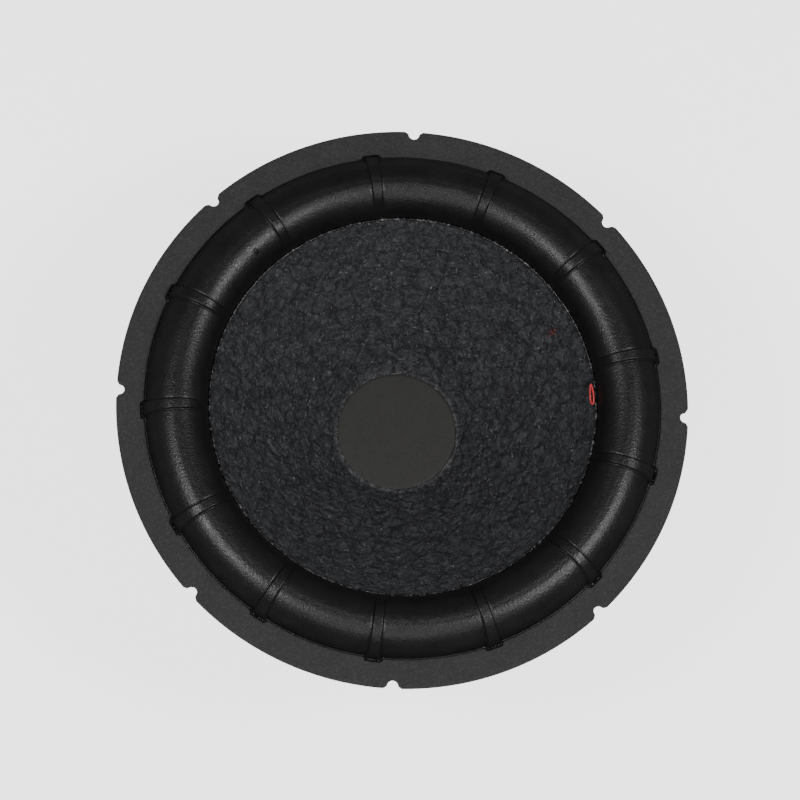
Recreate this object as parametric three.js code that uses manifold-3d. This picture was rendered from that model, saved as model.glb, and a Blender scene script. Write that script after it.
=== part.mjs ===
// A 12-inch car subwoofer driver, standing on its magnet with its cone facing up.
// Millimetres, +Z up. The origin is the centre of the footprint, under the magnet boot.
import * as THREE from 'three';
import { mergeVertices } from 'three/addons/utils/BufferGeometryUtils.js';
import Module from 'manifold-3d';

const wasm = await Module();
wasm.setup();

// ---- Driving dimensions ----

const rimRadius = 155;
const bodyRadius = 139.3; // what passes through the mounting cut-out
const rimSides = 48;
const motorSides = 36;
const smallSides = 10;

const glueLine = 0.1;
const looseFit = 0.3;

// Rim slots for the mounting screws.
const slotCount = 8;
const slotMouth = 10;
const slotDepth = 4.3;
const slotEndRadius = 3;
const slotClearance = 1.8; // flange and rim cut wider than the gasket
const flangeSetback = 1;
const rimSetback = 2.2; // rim's edge behind the gasket's

// Motor, from the floor up.
const bootFloor = 2.5;
const bootWall = 3;
const bootHoleRadius = 20;
const bootHeight = 45;
const magnetSetback = 3.5; // magnet bore behind the top plate's
const magnetOuterRadius = 78;
const magnetThickness = 16;
const backPlateRadius = 74;
const backPlateThickness = 10;
const plateChamfer = 2;
const ventRadius = 13;
const ventFlare = 4;
const topPlateRadius = 75;
const topPlateThickness = 8;
const poleExtension = 4;

// Voice coil.
const coilRadius = 31.75;
const formerWall = 0.3;
const polePlay = 0.75;
const gapPlay = 0.95;
const wireLayer = 0.65;
const windingHeight = 30;
const formerTail = 0.5;

// Basket.
const floorThickness = 3.2;
const basketFloorSetback = 9.5; // basket floor's hole behind the top plate's
const towerRadius = 79.5;
const towerWall = 3.5;
const towerHeight = 19;
const towerFillet = 1.5;
const landingWidth = 9;
const landingThickness = 3.5;
const landingTaper = 1;
const lipHeight = 3; // round the spider's edge
const lipSetback = 2;
const lipWidth = 4.5;
const shellStep = 4.5; // shell's foot outside the tower
const shellWall = 3.8;
const shellSink = 0.5;
const shoulderHeight = 6;
const shoulderFillet = 3.3;
const windowMargin = 11;
const rimThickness = 3.8;
const spokeCount = 8;
const spokeWidth = 19;
const spokeWebHeight = 7;
const spokeWebWidth = 4;
const spokeWebRoot = 6; // web's foot, below the landing

// Cone, cap and suspension.
const coneNeckStep = 1.95; // cone's neck outside the former
const coneEdgeRadius = 105;
const coneDepth = 65.5;
const coneEdgeDrop = 2.5; // cone edge below the gasket's face
const coneWall = 1.3;
const coneCollar = 6;
const capThickness = 1;
const spiderDrop = 12; // spider plane below the cone's neck
const spiderThickness = 0.8;
const spiderHub = 4; // flat collar at the former
const spiderWave = 2.2;
const spiderPeaks = 4;
const rollOuterRadius = 139.5;
const rollHeight = 17.6;
const rollSteps = 8;
const rubberWall = 1.2;
const landLength = 11.5;
const ribCount = 13;
const ribAngle = THREE.MathUtils.degToRad(2.9);
const ribProud = 1.5;
const ribTab = 2;
const ribPhase = THREE.MathUtils.degToRad(11.6);
const ribDrift = THREE.MathUtils.degToRad(2.3);
const gasketThickness = 3.5;
const beadSize = 1.1;
const neckFilletWidth = 1.9;
const neckFilletHeight = 1.4;

// Stitched seam.
const seamInset = 7; // from the cone's edge
const threadRadius = 0.4;
const tailLength = 12;
const tailBow = 1.2; // sideways, towards the cone's edge
const tailRise = 1.8;
const tailAzimuth = THREE.MathUtils.degToRad(5.9);

// Basket screws.
const screwCount = 6;
const screwCircle = 61;
const screwRadius = 2.4;
const screwHeadRadius = 4.3;
const screwHeadHeight = 2.6;
const screwLength = 9;

// Push terminals, one for each coil.
const padProud = 1.5; // flat seat on the basket
const terminalRise = 4;
const terminalWidth = 26;
const terminalDepth = 17;
const terminalHeight = 14;
const earWidth = 7;
const earThickness = 2.6;
const buttonWidth = 6.8;
const buttonSpacing = 12;
const buttonLength = 11;
const buttonProud = 3.4;
const buttonTravel = 2.8;
const buttonPlay = 0.3;
const pocketFloor = 2.4;
const springInner = 1.2;
const springOuter = 2.2;
const wireHoleRadius = 1.9;
const terminalFrontWall = 2.4;
const tabGap = 2; // behind the button's pocket
const tabWidth = 4;
const tabThickness = 0.8;
const tabProud = 10;
const rivetRadius = 1.5;
const rivetHeadRadius = 2.7;
const rivetHeadHeight = 1.2;
const leadRadius = 1;
const leadSpread = 10; // between a pair's ends on the former

// ---- Heights and radii worked out from them ----

const yokeBottom = bootFloor + glueLine;
const rearMagnetBottom = yokeBottom + backPlateThickness + glueLine;
const frontMagnetBottom = rearMagnetBottom + magnetThickness + glueLine;
const topPlateBottom = frontMagnetBottom + magnetThickness + glueLine;
const topPlateTop = topPlateBottom + topPlateThickness;
const poleRadius = coilRadius - polePlay;
const formerRadius = coilRadius + formerWall;
const windingRadius = formerRadius + 2 * (glueLine + wireLayer);
const gapRadius = windingRadius + gapPlay;
const magnetInnerRadius = gapRadius + magnetSetback;
const basketFloorHole = gapRadius + basketFloorSetback;
const coneNeckRadius = formerRadius + coneNeckStep;
const coilMiddle = topPlateBottom + topPlateThickness / 2;
const windingBottom = coilMiddle - windingHeight / 2;

const basketBottom = topPlateTop + glueLine;
const basketFloorTop = basketBottom + floorThickness;
const landingTop = basketBottom + floorThickness + towerHeight;
const landingInner = towerRadius - towerWall - landingWidth;
const lipTop = landingTop + lipHeight;
const lipInner = towerRadius - lipSetback;
const shellFoot = towerRadius + shellStep;

const spiderMiddle = landingTop + glueLine + spiderThickness / 2;
const neckHeight = spiderMiddle + spiderDrop;
const coneEdgeHeight = neckHeight + coneDepth;
const coneSlope = coneDepth / (coneEdgeRadius - coneNeckRadius);
const slopeFactor = Math.hypot(1, coneSlope);
const coneWallUpright = coneWall * slopeFactor;
const gasketTop = coneEdgeHeight + coneEdgeDrop;
const gasketBottom = gasketTop - gasketThickness;
const flangeTop = gasketBottom - glueLine;
const flangeBottom = flangeTop - rubberWall;
const rimTop = flangeBottom - glueLine;
const rimBottom = rimTop - rimThickness;
const rollInnerRadius = coneEdgeRadius + looseFit + glueLine;
const rollMiddle = (rollInnerRadius + rollOuterRadius) / 2;
const rollHalfWidth = (rollOuterRadius - rollInnerRadius) / 2;
const windowInner = shellFoot;
const windowOuter = bodyRadius - windowMargin;
const seamRadius = coneEdgeRadius - seamInset;
const terminalBack = towerRadius + padProud;
const terminalBottom = basketBottom + terminalRise;
const terminalTop = terminalBottom + terminalHeight;

const coneFace = (radius) => coneEdgeHeight - coneSlope * (coneEdgeRadius - radius);
const coneBack = (radius) => coneFace(radius) - coneWallUpright;
const landFace = (radius) => coneBack(radius) - glueLine * slopeFactor;
const landBack = (radius) => landFace(radius) - rubberWall * slopeFactor;

// ---- Materials ----

function material(color, roughness, metalness) {
  return new THREE.MeshStandardMaterial({ color, roughness, metalness });
}

const rubberBlack = material(0x1c1e20, 0.42, 0);
const pulp = material(0x2d2e32, 0.95, 0);
const gasketGrey = material(0x41413f, 0.9, 0);
const capGrey = material(0x34332f, 0.7, 0);
const paintBlack = material(0x17181a, 0.55, 0.3);
const ferrite = material(0x2a2a2c, 0.75, 0.1);
const zincSteel = material(0x9a9c9e, 0.35, 1);
const aluminium = material(0xb8babd, 0.4, 1);
const copper = material(0xb06a3a, 0.35, 1);
const clothTan = material(0x8a5a2a, 0.9, 0);
const plasticBlack = material(0x141415, 0.5, 0);
const buttonRed = material(0xa01414, 0.4, 0);
const buttonBlack = material(0x202022, 0.4, 0);
const brass = material(0xc9a24a, 0.35, 1);
const threadBlack = material(0x101011, 0.8, 0);
const threadRed = material(0xb3161c, 0.7, 0);
const adhesive = material(0x0c0c0d, 0.15, 0);
const braid = material(0xa8794a, 0.5, 0.8);

// ---- Geometry helpers ----

function solid(geometry) {
  const bare = geometry.clone();
  bare.deleteAttribute('normal');
  bare.deleteAttribute('uv');
  const merged = mergeVertices(bare, 1e-4);
  const vertProperties = Float32Array.from(merged.attributes.position.array);
  const triVerts = Uint32Array.from(merged.index.array);
  return new wasm.Manifold(new wasm.Mesh({ numProp: 3, vertProperties, triVerts }));
}

function geometryOf(manifold) {
  const { vertProperties, triVerts } = manifold.getMesh();
  const geometry = new THREE.BufferGeometry();
  geometry.setAttribute('position', new THREE.BufferAttribute(vertProperties, 3));
  geometry.setIndex(new THREE.BufferAttribute(triVerts, 1));
  geometry.computeVertexNormals();
  return geometry;
}

// Turns a [radius, height] outline, listed anticlockwise, about Z. It closes on itself.
function turned(outline, sides) {
  const points = [...outline, outline[0]].map(([radius, height]) => new THREE.Vector2(radius, height));
  return new THREE.LatheGeometry(points, sides).rotateX(Math.PI / 2);
}

function ring(inner, outer, bottom, top, sides) {
  return turned([[inner, bottom], [outer, bottom], [outer, top], [inner, top]], sides);
}

function disc(radius, bottom, top, sides) {
  return new THREE.CylinderGeometry(radius, radius, top - bottom, sides)
    .rotateX(Math.PI / 2)
    .translate(0, 0, (bottom + top) / 2);
}

function block(low, high) {
  const size = high.map((value, axis) => value - low[axis]);
  const middle = high.map((value, axis) => (value + low[axis]) / 2);
  return new THREE.BoxGeometry(...size).translate(...middle);
}

function prism(shape, bottom, top, curveSegments = 4) {
  const settings = { depth: top - bottom, bevelEnabled: false, curveSegments };
  return new THREE.ExtrudeGeometry(shape, settings).translate(0, 0, bottom);
}

function polygon(points) {
  return new THREE.Shape(points.map(([x, y]) => new THREE.Vector2(x, y)));
}

// Copies of one cutter or boss, turned to each azimuth and joined.
function around(geometry, azimuths) {
  const copies = azimuths.map((azimuth) => solid(geometry.clone().rotateZ(azimuth)));
  return wasm.Manifold.union(copies);
}

function evenly(count, phase = 0) {
  return Array.from({ length: count }, (_, index) => phase + (index * 2 * Math.PI) / count);
}

// ---- Rim slots and rib positions, shared by the gasket, the surround and the basket ----

function rimSlots(clearance) {
  const outer = rimRadius + 1;
  const reach = slotEndRadius + clearance;
  const outline = new THREE.Shape();
  outline.moveTo(outer, slotMouth / 2 + clearance);
  outline.absarc(rimRadius - slotDepth + slotEndRadius, 0, reach, Math.PI / 2, 1.5 * Math.PI, false);
  outline.lineTo(outer, -slotMouth / 2 - clearance);
  outline.closePath();
  return around(prism(outline, rimBottom - 1, gasketTop + 1, 2), evenly(slotCount));
}

// The ribs step round evenly, but the surround was glued a little off centre.
function ribAzimuths() {
  return evenly(ribCount, ribPhase).map((even) => {
    const settled = even + ribDrift * Math.cos(even);
    return -(even + ribDrift * Math.cos(settled));
  });
}

// A sector of the ring between two radii, as wide as a rib plus some play on each flank.
function ribSector(inner, outer, play, bottom, top) {
  const half = Math.tan(ribAngle / 2);
  const outline = [
    [inner, -inner * half - play], [outer, -outer * half - play],
    [outer, outer * half + play], [inner, inner * half + play],
  ];
  return prism(polygon(outline), bottom, top);
}

// ---- Soft parts ----

function gasket() {
  const inner = rollOuterRadius + looseFit + glueLine;
  const band = solid(ring(inner, rimRadius, gasketBottom, gasketTop, rimSides));
  const reach = rollOuterRadius + ribTab + looseFit;
  const relief = ribSector(inner - 1, reach, looseFit, gasketBottom - 1, gasketTop + 1);
  return geometryOf(band.subtract(rimSlots(0)).subtract(around(relief, ribAzimuths())));
}

// Half an ellipse from the outer foot over the crest to the inner foot.
function rollArc(halfWidth, foot, height, steps) {
  return Array.from({ length: steps + 1 }, (_, index) => {
    const angle = (index * Math.PI) / steps;
    return [rollMiddle + halfWidth * Math.cos(angle), foot + height * Math.sin(angle)];
  });
}

function surroundBody() {
  const outer = rimRadius - flangeSetback;
  const landInner = coneEdgeRadius - landLength;
  const outline = [
    [outer, flangeBottom], [outer, flangeTop],
    ...rollArc(rollHalfWidth, flangeTop, rollHeight, rollSteps),
    [coneEdgeRadius, landFace(coneEdgeRadius)], [landInner, landFace(landInner)],
    [landInner, landBack(landInner)], [coneEdgeRadius, landBack(coneEdgeRadius)],
    ...rollArc(rollHalfWidth - rubberWall, flangeBottom, rollHeight, rollSteps).reverse(),
  ];
  return solid(turned(outline, rimSides));
}

function surroundRibs() {
  const crest = rollHeight + ribProud;
  const core = rollArc(rollHalfWidth - rubberWall / 2, flangeTop - rubberWall / 2, rollHeight, rollSteps);
  const skin = rollArc(rollHalfWidth, flangeTop, crest, rollSteps).map(([radius, height]) => {
    const outward = Math.max(0, (radius - rollMiddle) / rollHalfWidth);
    return [radius + ribTab * outward, height];
  });
  const foot = [[rollOuterRadius + ribTab, flangeTop - rubberWall / 2]];
  const band = solid(turned([...foot, ...skin, ...core.reverse()], rimSides));
  const sectors = ribSector(coneEdgeRadius, rimRadius, 0, flangeBottom, gasketTop + rollHeight);
  return band.intersect(around(sectors, ribAzimuths()));
}

function surround() {
  return geometryOf(surroundBody().add(surroundRibs()).subtract(rimSlots(slotClearance)));
}

function cone() {
  const collarInner = formerRadius + looseFit / 2;
  const collarOuter = coneNeckRadius - coneWall / 2;
  return turned([
    [collarInner, neckHeight - coneCollar], [collarOuter, neckHeight - coneCollar],
    [collarOuter, coneBack(collarOuter)], [coneEdgeRadius, coneBack(coneEdgeRadius)],
    [coneEdgeRadius, coneEdgeHeight], [coneNeckRadius, neckHeight], [collarInner, neckHeight],
  ], rimSides);
}

function edgeBead() {
  const inner = coneEdgeRadius - beadSize;
  const lift = glueLine * slopeFactor;
  return turned([
    [coneEdgeRadius, coneEdgeHeight + lift], [rollInnerRadius - glueLine, coneEdgeHeight],
    [coneEdgeRadius, coneEdgeHeight + beadSize], [inner, coneFace(inner) + beadSize],
    [inner - beadSize, coneFace(inner - beadSize) + lift],
  ], rimSides);
}

function dustCap() {
  const bottom = neckHeight + glueLine;
  return disc(coneNeckRadius - looseFit, bottom, bottom + capThickness, motorSides);
}

function spider() {
  const inner = formerRadius + looseFit / 2;
  const outer = lipInner - looseFit;
  const waveInner = inner + spiderHub;
  const waveOuter = landingInner - looseFit;
  const half = spiderThickness / 2;
  const pitch = (waveOuter - waveInner) / spiderPeaks;
  const middle = [[inner, 0], [waveInner, 0]];
  for (let peak = 0; peak < spiderPeaks; peak += 1) {
    middle.push([waveInner + (peak + 0.5) * pitch, peak % 2 === 0 ? spiderWave : -spiderWave]);
  }
  middle.push([waveOuter, 0], [outer, 0]);
  const back = middle.map(([radius, height]) => [radius, spiderMiddle + height - half]);
  const face = middle.map(([radius, height]) => [radius, spiderMiddle + height + half]);
  return turned([...back, ...face.reverse()], motorSides);
}

function neckAdhesive() {
  const inner = formerRadius + looseFit / 2;
  const top = neckHeight - coneCollar - glueLine;
  const fillet = [[inner, top - neckFilletHeight], [inner + neckFilletWidth, top], [inner, top]];
  return turned(fillet, motorSides);
}

// ---- Stitching ----

function seamRing(height) {
  const outline = [[0, -1], [1, 0], [0, 1], [-1, 0]].map(([across, up]) => [
    seamRadius + threadRadius * across, height + threadRadius * up,
  ]);
  return turned(outline, rimSides);
}

function needleThread() {
  return seamRing(coneFace(seamRadius) + (threadRadius + glueLine) * slopeFactor);
}

function bobbinThread() {
  return seamRing(landBack(seamRadius) - (threadRadius + glueLine) * slopeFactor);
}

// A loose end of the seam that lies in a low arch along the cone's edge.
function threadTail() {
  const half = tailLength / 2;
  const rest = coneEdgeHeight + beadSize + threadRadius + glueLine;
  const points = [
    [-tailBow, -half, 0], [0.75 * tailBow, -half / 2, (2 / 3) * tailRise], [tailBow, 0, tailRise],
    [0.75 * tailBow, half / 2, (2 / 3) * tailRise], [-tailBow, half, 0],
  ].map(([across, along, up]) => new THREE.Vector3(across, along, rest + up));
  return tube(points, threadRadius, 12)
    .translate(coneEdgeRadius - 2 * beadSize, 0, 0)
    .rotateZ(tailAzimuth);
}

function tube(points, radius, steps) {
  const section = new THREE.Shape().absarc(0, 0, radius, 0, 2 * Math.PI, false);
  const extrudePath = new THREE.CatmullRomCurve3(points);
  return new THREE.ExtrudeGeometry(section, { steps, extrudePath, curveSegments: 4 });
}

// ---- Motor ----

function magnetBoot() {
  const inner = magnetOuterRadius + looseFit;
  const outer = inner + bootWall;
  return turned([
    [bootHoleRadius, 0], [outer - plateChamfer, 0], [outer, plateChamfer], [outer, bootHeight],
    [inner, bootHeight], [inner, bootFloor], [bootHoleRadius, bootFloor],
  ], motorSides);
}

function yoke() {
  const plateTop = yokeBottom + backPlateThickness;
  const poleTop = topPlateTop + poleExtension;
  return turned([
    [ventRadius + ventFlare, yokeBottom], [backPlateRadius - plateChamfer, yokeBottom],
    [backPlateRadius, yokeBottom + plateChamfer], [backPlateRadius, plateTop],
    [poleRadius, plateTop], [poleRadius, poleTop], [ventRadius, poleTop],
    [ventRadius, yokeBottom + ventFlare],
  ], motorSides);
}

function magnet(bottom) {
  return ring(magnetInnerRadius, magnetOuterRadius, bottom, bottom + magnetThickness, motorSides);
}

function topPlate() {
  const plate = solid(ring(gapRadius, topPlateRadius, topPlateBottom, topPlateTop, motorSides));
  const hole = disc(screwRadius + looseFit, topPlateBottom - 1, topPlateTop + 1, smallSides);
  return geometryOf(plate.subtract(around(hole.translate(screwCircle, 0, 0), screwAzimuths())));
}

function former() {
  return ring(coilRadius, formerRadius, windingBottom - formerTail, neckHeight - glueLine, motorSides);
}

function winding(layer) {
  const inner = formerRadius + glueLine + layer * (wireLayer + glueLine);
  return ring(inner, inner + wireLayer, windingBottom, windingBottom + windingHeight, motorSides);
}

// ---- Basket ----

function screwAzimuths() {
  return evenly(screwCount, Math.PI / screwCount);
}

// The shell rises from the landing to the shoulder; the offset runs along its own slope.
function shellLine() {
  const start = [shellFoot, landingTop - shellSink];
  const end = [bodyRadius - shoulderFillet, rimBottom - shoulderHeight];
  const length = Math.hypot(end[0] - start[0], end[1] - start[1]);
  const across = [(start[1] - end[1]) / length, (end[0] - start[0]) / length];
  const inside = (point) => [point[0] + shellWall * across[0], point[1] + shellWall * across[1]];
  return { start, end, insideEnd: inside(end) };
}

function basketBody() {
  const shell = shellLine();
  const towerInner = towerRadius - towerWall;
  return solid(turned([
    [basketFloorHole, basketBottom], [towerRadius - plateChamfer, basketBottom],
    [towerRadius, basketBottom + plateChamfer], [towerRadius, landingTop - landingThickness],
    shell.start, shell.end, [bodyRadius, shell.end[1] + shoulderFillet], [bodyRadius, rimBottom],
    [rimRadius - rimSetback, rimBottom], [rimRadius - rimSetback, rimTop],
    [rollOuterRadius - rubberWall, rimTop], shell.insideEnd, [lipInner + lipWidth, lipTop],
    [lipInner, lipTop], [lipInner, landingTop], [landingInner, landingTop],
    [landingInner, landingTop - landingThickness],
    [towerInner, landingTop - landingThickness - landingTaper],
    [towerInner, basketFloorTop + towerFillet], [towerInner - towerFillet, basketFloorTop],
    [basketFloorHole, basketFloorTop],
  ], rimSides));
}

// One window between two spokes: its flanks run parallel to the spokes beside it.
function basketWindow() {
  const half = Math.PI / spokeCount;
  const flank = (radius) => half - Math.asin(spokeWidth / 2 / radius);
  const outline = new THREE.Shape();
  outline.absarc(0, 0, windowInner, -flank(windowInner), flank(windowInner), false);
  outline.absarc(0, 0, windowOuter, flank(windowOuter), -flank(windowOuter), true);
  outline.closePath();
  return prism(outline, landingTop - 4, rimBottom, 3);
}

// A stiffening web along the middle of each spoke, under the shell.
function spokeWeb() {
  const shell = shellLine();
  const sink = shellWall / 2;
  const outline = polygon([
    [towerRadius - 1, landingTop - landingThickness - spokeWebRoot],
    [shell.start[0] + sink, shell.start[1] - 5],
    [shell.end[0] + sink, shell.end[1] - spokeWebHeight / 2],
    [shell.end[0] + 1, shell.end[1] + sink],
    [shell.start[0], shell.start[1] + sink], [towerRadius - 1, landingTop - sink],
  ]);
  return prism(outline, -spokeWebWidth / 2, spokeWebWidth / 2).rotateX(Math.PI / 2);
}

function terminalPad() {
  const across = terminalWidth / 2 + earWidth + 1;
  const inner = Math.sqrt(towerRadius ** 2 - across ** 2) - 1;
  return block([inner, -across, terminalBottom - 1], [terminalBack - glueLine, across, terminalTop + 1]);
}

function rivetSpots() {
  const across = terminalWidth / 2 + earWidth / 2;
  return [-across, across];
}

function rivetHoles() {
  const hole = new THREE.CylinderGeometry(rivetRadius + looseFit, rivetRadius + looseFit, 30, smallSides)
    .rotateZ(Math.PI / 2)
    .translate(terminalBack, 0, (terminalBottom + terminalTop) / 2);
  return rivetSpots().map((across) => hole.clone().translate(0, across, 0));
}

function basket() {
  const towerCore = disc(towerRadius - towerWall, basketBottom, landingTop, rimSides);
  const pads = around(terminalPad(), terminalAzimuths()).subtract(solid(towerCore));
  const screwHole = disc(screwRadius + looseFit, basketBottom - 1, basketFloorTop + 1, smallSides);
  let body = basketBody().subtract(around(basketWindow(), evenly(spokeCount)));
  body = body.add(around(spokeWeb(), evenly(spokeCount, Math.PI / spokeCount))).add(pads);
  body = body.subtract(around(screwHole.translate(screwCircle, 0, 0), screwAzimuths()));
  for (const hole of rivetHoles()) {
    body = body.subtract(around(hole, terminalAzimuths()));
  }
  return geometryOf(body.subtract(rimSlots(slotClearance)));
}

function basketScrew() {
  const head = basketFloorTop + glueLine;
  const point = head - screwLength;
  return new THREE.LatheGeometry([
    new THREE.Vector2(0, point), new THREE.Vector2(screwRadius, point + 1),
    new THREE.Vector2(screwRadius, head), new THREE.Vector2(screwHeadRadius, head),
    new THREE.Vector2(screwHeadRadius, head + screwHeadHeight / 2),
    new THREE.Vector2(screwHeadRadius / 2, head + screwHeadHeight),
    new THREE.Vector2(0, head + screwHeadHeight),
  ], smallSides).rotateX(Math.PI / 2);
}

// ---- Push terminals ----

function terminalAzimuths() {
  return [0, Math.PI];
}

const buttonMiddle = terminalBack + terminalDepth - terminalFrontWall - buttonPlay - buttonWidth / 2;
const tabMiddle = buttonMiddle - buttonPlay - buttonWidth / 2 - tabGap;
const buttonTop = terminalTop + buttonProud;
const buttonBottom = buttonTop - buttonLength;
const springBottom = terminalBottom + pocketFloor + glueLine;

function terminalBody() {
  const half = terminalWidth / 2;
  const middle = (terminalBottom + terminalTop) / 2;
  const front = terminalBack + terminalDepth;
  const ears = block(
    [terminalBack, -half - earWidth, terminalBottom],
    [terminalBack + earThickness, half + earWidth, terminalTop],
  );
  const core = block([terminalBack, -half, terminalBottom], [front, half, terminalTop]);
  let body = solid(core).add(solid(ears));
  const reach = buttonWidth / 2 + buttonPlay;
  for (const across of [-buttonSpacing / 2, buttonSpacing / 2]) {
    const pocket = block(
      [buttonMiddle - reach, across - reach, terminalBottom + pocketFloor],
      [buttonMiddle + reach, across + reach, terminalTop + 1],
    );
    const tabSlot = block(
      [tabMiddle - tabThickness, across - tabWidth / 2 - looseFit, middle - 1],
      [tabMiddle + tabThickness, across + tabWidth / 2 + looseFit, terminalTop + 1],
    );
    const holeLength = terminalFrontWall * 3;
    const wireHole = new THREE.CylinderGeometry(wireHoleRadius, wireHoleRadius, holeLength, smallSides)
      .rotateZ(Math.PI / 2)
      .translate(front, across, middle);
    body = body.subtract(solid(pocket)).subtract(solid(tabSlot)).subtract(solid(wireHole));
  }
  for (const hole of rivetHoles()) {
    body = body.subtract(solid(hole));
  }
  return geometryOf(body);
}

// The cross hole lines up with the housing's wire hole when the button is pressed.
function button(across) {
  const half = buttonWidth / 2;
  const middle = (terminalBottom + terminalTop) / 2;
  const stem = block(
    [buttonMiddle - half, across - half, buttonBottom], [buttonMiddle + half, across + half, buttonTop],
  );
  const hole = new THREE.CylinderGeometry(wireHoleRadius, wireHoleRadius, buttonWidth * 2, smallSides)
    .rotateZ(Math.PI / 2)
    .translate(buttonMiddle, across, middle + buttonTravel);
  return geometryOf(solid(stem).subtract(solid(hole)));
}

function buttonSpring(across) {
  const coil = ring(springInner, springOuter, springBottom, buttonBottom - glueLine, smallSides);
  return coil.translate(buttonMiddle, across, 0);
}

function solderTab(across) {
  const half = tabThickness / 2;
  const middle = (terminalBottom + terminalTop) / 2;
  return block(
    [tabMiddle - half, across - tabWidth / 2, middle - 1 + looseFit],
    [tabMiddle + half, across + tabWidth / 2, terminalTop + tabProud],
  );
}

function rivet(across) {
  const seat = earThickness + glueLine;
  return new THREE.LatheGeometry([
    new THREE.Vector2(0, -towerWall), new THREE.Vector2(rivetRadius, -towerWall),
    new THREE.Vector2(rivetRadius, seat), new THREE.Vector2(rivetHeadRadius, seat),
    new THREE.Vector2(rivetHeadRadius * 0.7, seat + rivetHeadHeight),
    new THREE.Vector2(0, seat + rivetHeadHeight),
  ], smallSides)
    .rotateZ(-Math.PI / 2)
    .translate(terminalBack, across, (terminalBottom + terminalTop) / 2);
}

// A braided lead: off the tab, over the basket's lip and the spider, down to the former.
function lead(across) {
  const side = Math.sign(across);
  const end = formerRadius + leadRadius + looseFit;
  const endHeight = neckHeight - coneCollar - 3.2;
  const spread = (side * leadSpread) / 2;
  const start = terminalTop + tabProud + looseFit;
  return tube([
    new THREE.Vector3(tabMiddle, across, start), new THREE.Vector3(tabMiddle - 2, across, start + 3.5),
    new THREE.Vector3(tabMiddle - 10, across, start + 5.5), new THREE.Vector3(62, across, start + 5),
    new THREE.Vector3(48, across * 0.9, endHeight + 4.2), new THREE.Vector3(end + 5, spread, endHeight + 1),
    new THREE.Vector3(end, spread, endHeight),
  ], leadRadius, 10);
}

// ---- Assembly ----

const driver = new THREE.Group();

function place(name, geometry, look, azimuth = 0) {
  const mesh = new THREE.Mesh(geometry, look);
  mesh.name = name;
  mesh.rotation.z = azimuth;
  driver.add(mesh);
}

place('magnet_boot', magnetBoot(), rubberBlack);
place('pole_yoke', yoke(), zincSteel);
place('magnet_rear', magnet(rearMagnetBottom), ferrite);
place('magnet_front', magnet(frontMagnetBottom), ferrite);
place('top_plate', topPlate(), zincSteel);
place('basket', basket(), paintBlack);
screwAzimuths().forEach((azimuth, index) => {
  place(`basket_screw_${index + 1}`, basketScrew().translate(screwCircle, 0, 0), zincSteel, azimuth);
});

place('voice_coil_former', former(), aluminium);
place('coil_winding_inner', winding(0), copper);
place('coil_winding_outer', winding(1), copper);
place('spider', spider(), clothTan);
place('neck_adhesive', neckAdhesive(), adhesive);
place('cone', cone(), pulp);
place('dust_cap', dustCap(), capGrey);
place('surround', surround(), rubberBlack);
place('edge_bead', edgeBead(), adhesive);
place('seam_needle_thread', needleThread(), threadBlack);
place('seam_bobbin_thread', bobbinThread(), threadRed);
place('thread_tail', threadTail(), threadRed);
place('front_gasket', gasket(), gasketGrey);

terminalAzimuths().forEach((azimuth, index) => {
  const coil = `coil${index + 1}`;
  place(`terminal_body_${coil}`, terminalBody(), plasticBlack, azimuth);
  const polarities = [['plus', buttonSpacing / 2, buttonRed], ['minus', -buttonSpacing / 2, buttonBlack]];
  for (const [polarity, across, look] of polarities) {
    place(`push_button_${coil}_${polarity}`, button(across), look, azimuth);
    place(`button_spring_${coil}_${polarity}`, buttonSpring(across), zincSteel, azimuth);
    place(`solder_tab_${coil}_${polarity}`, solderTab(across), brass, azimuth);
    place(`tinsel_lead_${coil}_${polarity}`, lead(across), braid, azimuth);
  }
  rivetSpots().forEach((across, spot) => {
    place(`terminal_rivet_${coil}_${spot + 1}`, rivet(across), aluminium, azimuth);
  });
});

export default driver;
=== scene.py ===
"""A 12-inch car subwoofer driver, standing on its magnet and seen from nearly straight above."""

import math
import random

import bmesh
import bpy
import numpy as np
from mathutils import Matrix, Vector, noise


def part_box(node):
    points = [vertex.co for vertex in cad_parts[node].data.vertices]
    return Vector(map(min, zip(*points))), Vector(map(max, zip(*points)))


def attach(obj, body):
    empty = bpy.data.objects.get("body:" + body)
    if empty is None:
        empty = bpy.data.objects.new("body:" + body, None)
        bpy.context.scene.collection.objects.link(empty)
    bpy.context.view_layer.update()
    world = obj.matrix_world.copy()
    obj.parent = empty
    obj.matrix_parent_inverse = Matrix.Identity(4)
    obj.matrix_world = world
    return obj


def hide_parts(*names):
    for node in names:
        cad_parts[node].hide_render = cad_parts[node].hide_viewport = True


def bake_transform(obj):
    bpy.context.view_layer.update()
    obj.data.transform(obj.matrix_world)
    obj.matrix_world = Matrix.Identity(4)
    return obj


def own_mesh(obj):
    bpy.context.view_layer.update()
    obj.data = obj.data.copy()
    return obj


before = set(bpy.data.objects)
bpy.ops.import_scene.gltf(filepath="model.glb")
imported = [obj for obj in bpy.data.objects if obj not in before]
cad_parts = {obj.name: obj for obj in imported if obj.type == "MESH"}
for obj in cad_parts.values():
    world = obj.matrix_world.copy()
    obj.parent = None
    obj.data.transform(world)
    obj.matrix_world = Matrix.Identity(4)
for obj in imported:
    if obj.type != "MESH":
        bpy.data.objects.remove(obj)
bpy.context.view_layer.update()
# Vector noise takes its offsets from this seed, so a fixed one gives the same cone each run.
noise.seed_set(3)

# Lengths below are millimetres; METRE turns them into Blender's units.
METRE = 0.001
TAU = 2 * math.pi
CREASE_DEGREES = 38


def low(node):
    return np.array(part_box(node)[0]) / METRE


def high(node):
    return np.array(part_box(node)[1]) / METRE


def centre_of(node):
    return (low(node) + high(node)) / 2


# ---- Sizes taken from the frame ----

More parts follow.
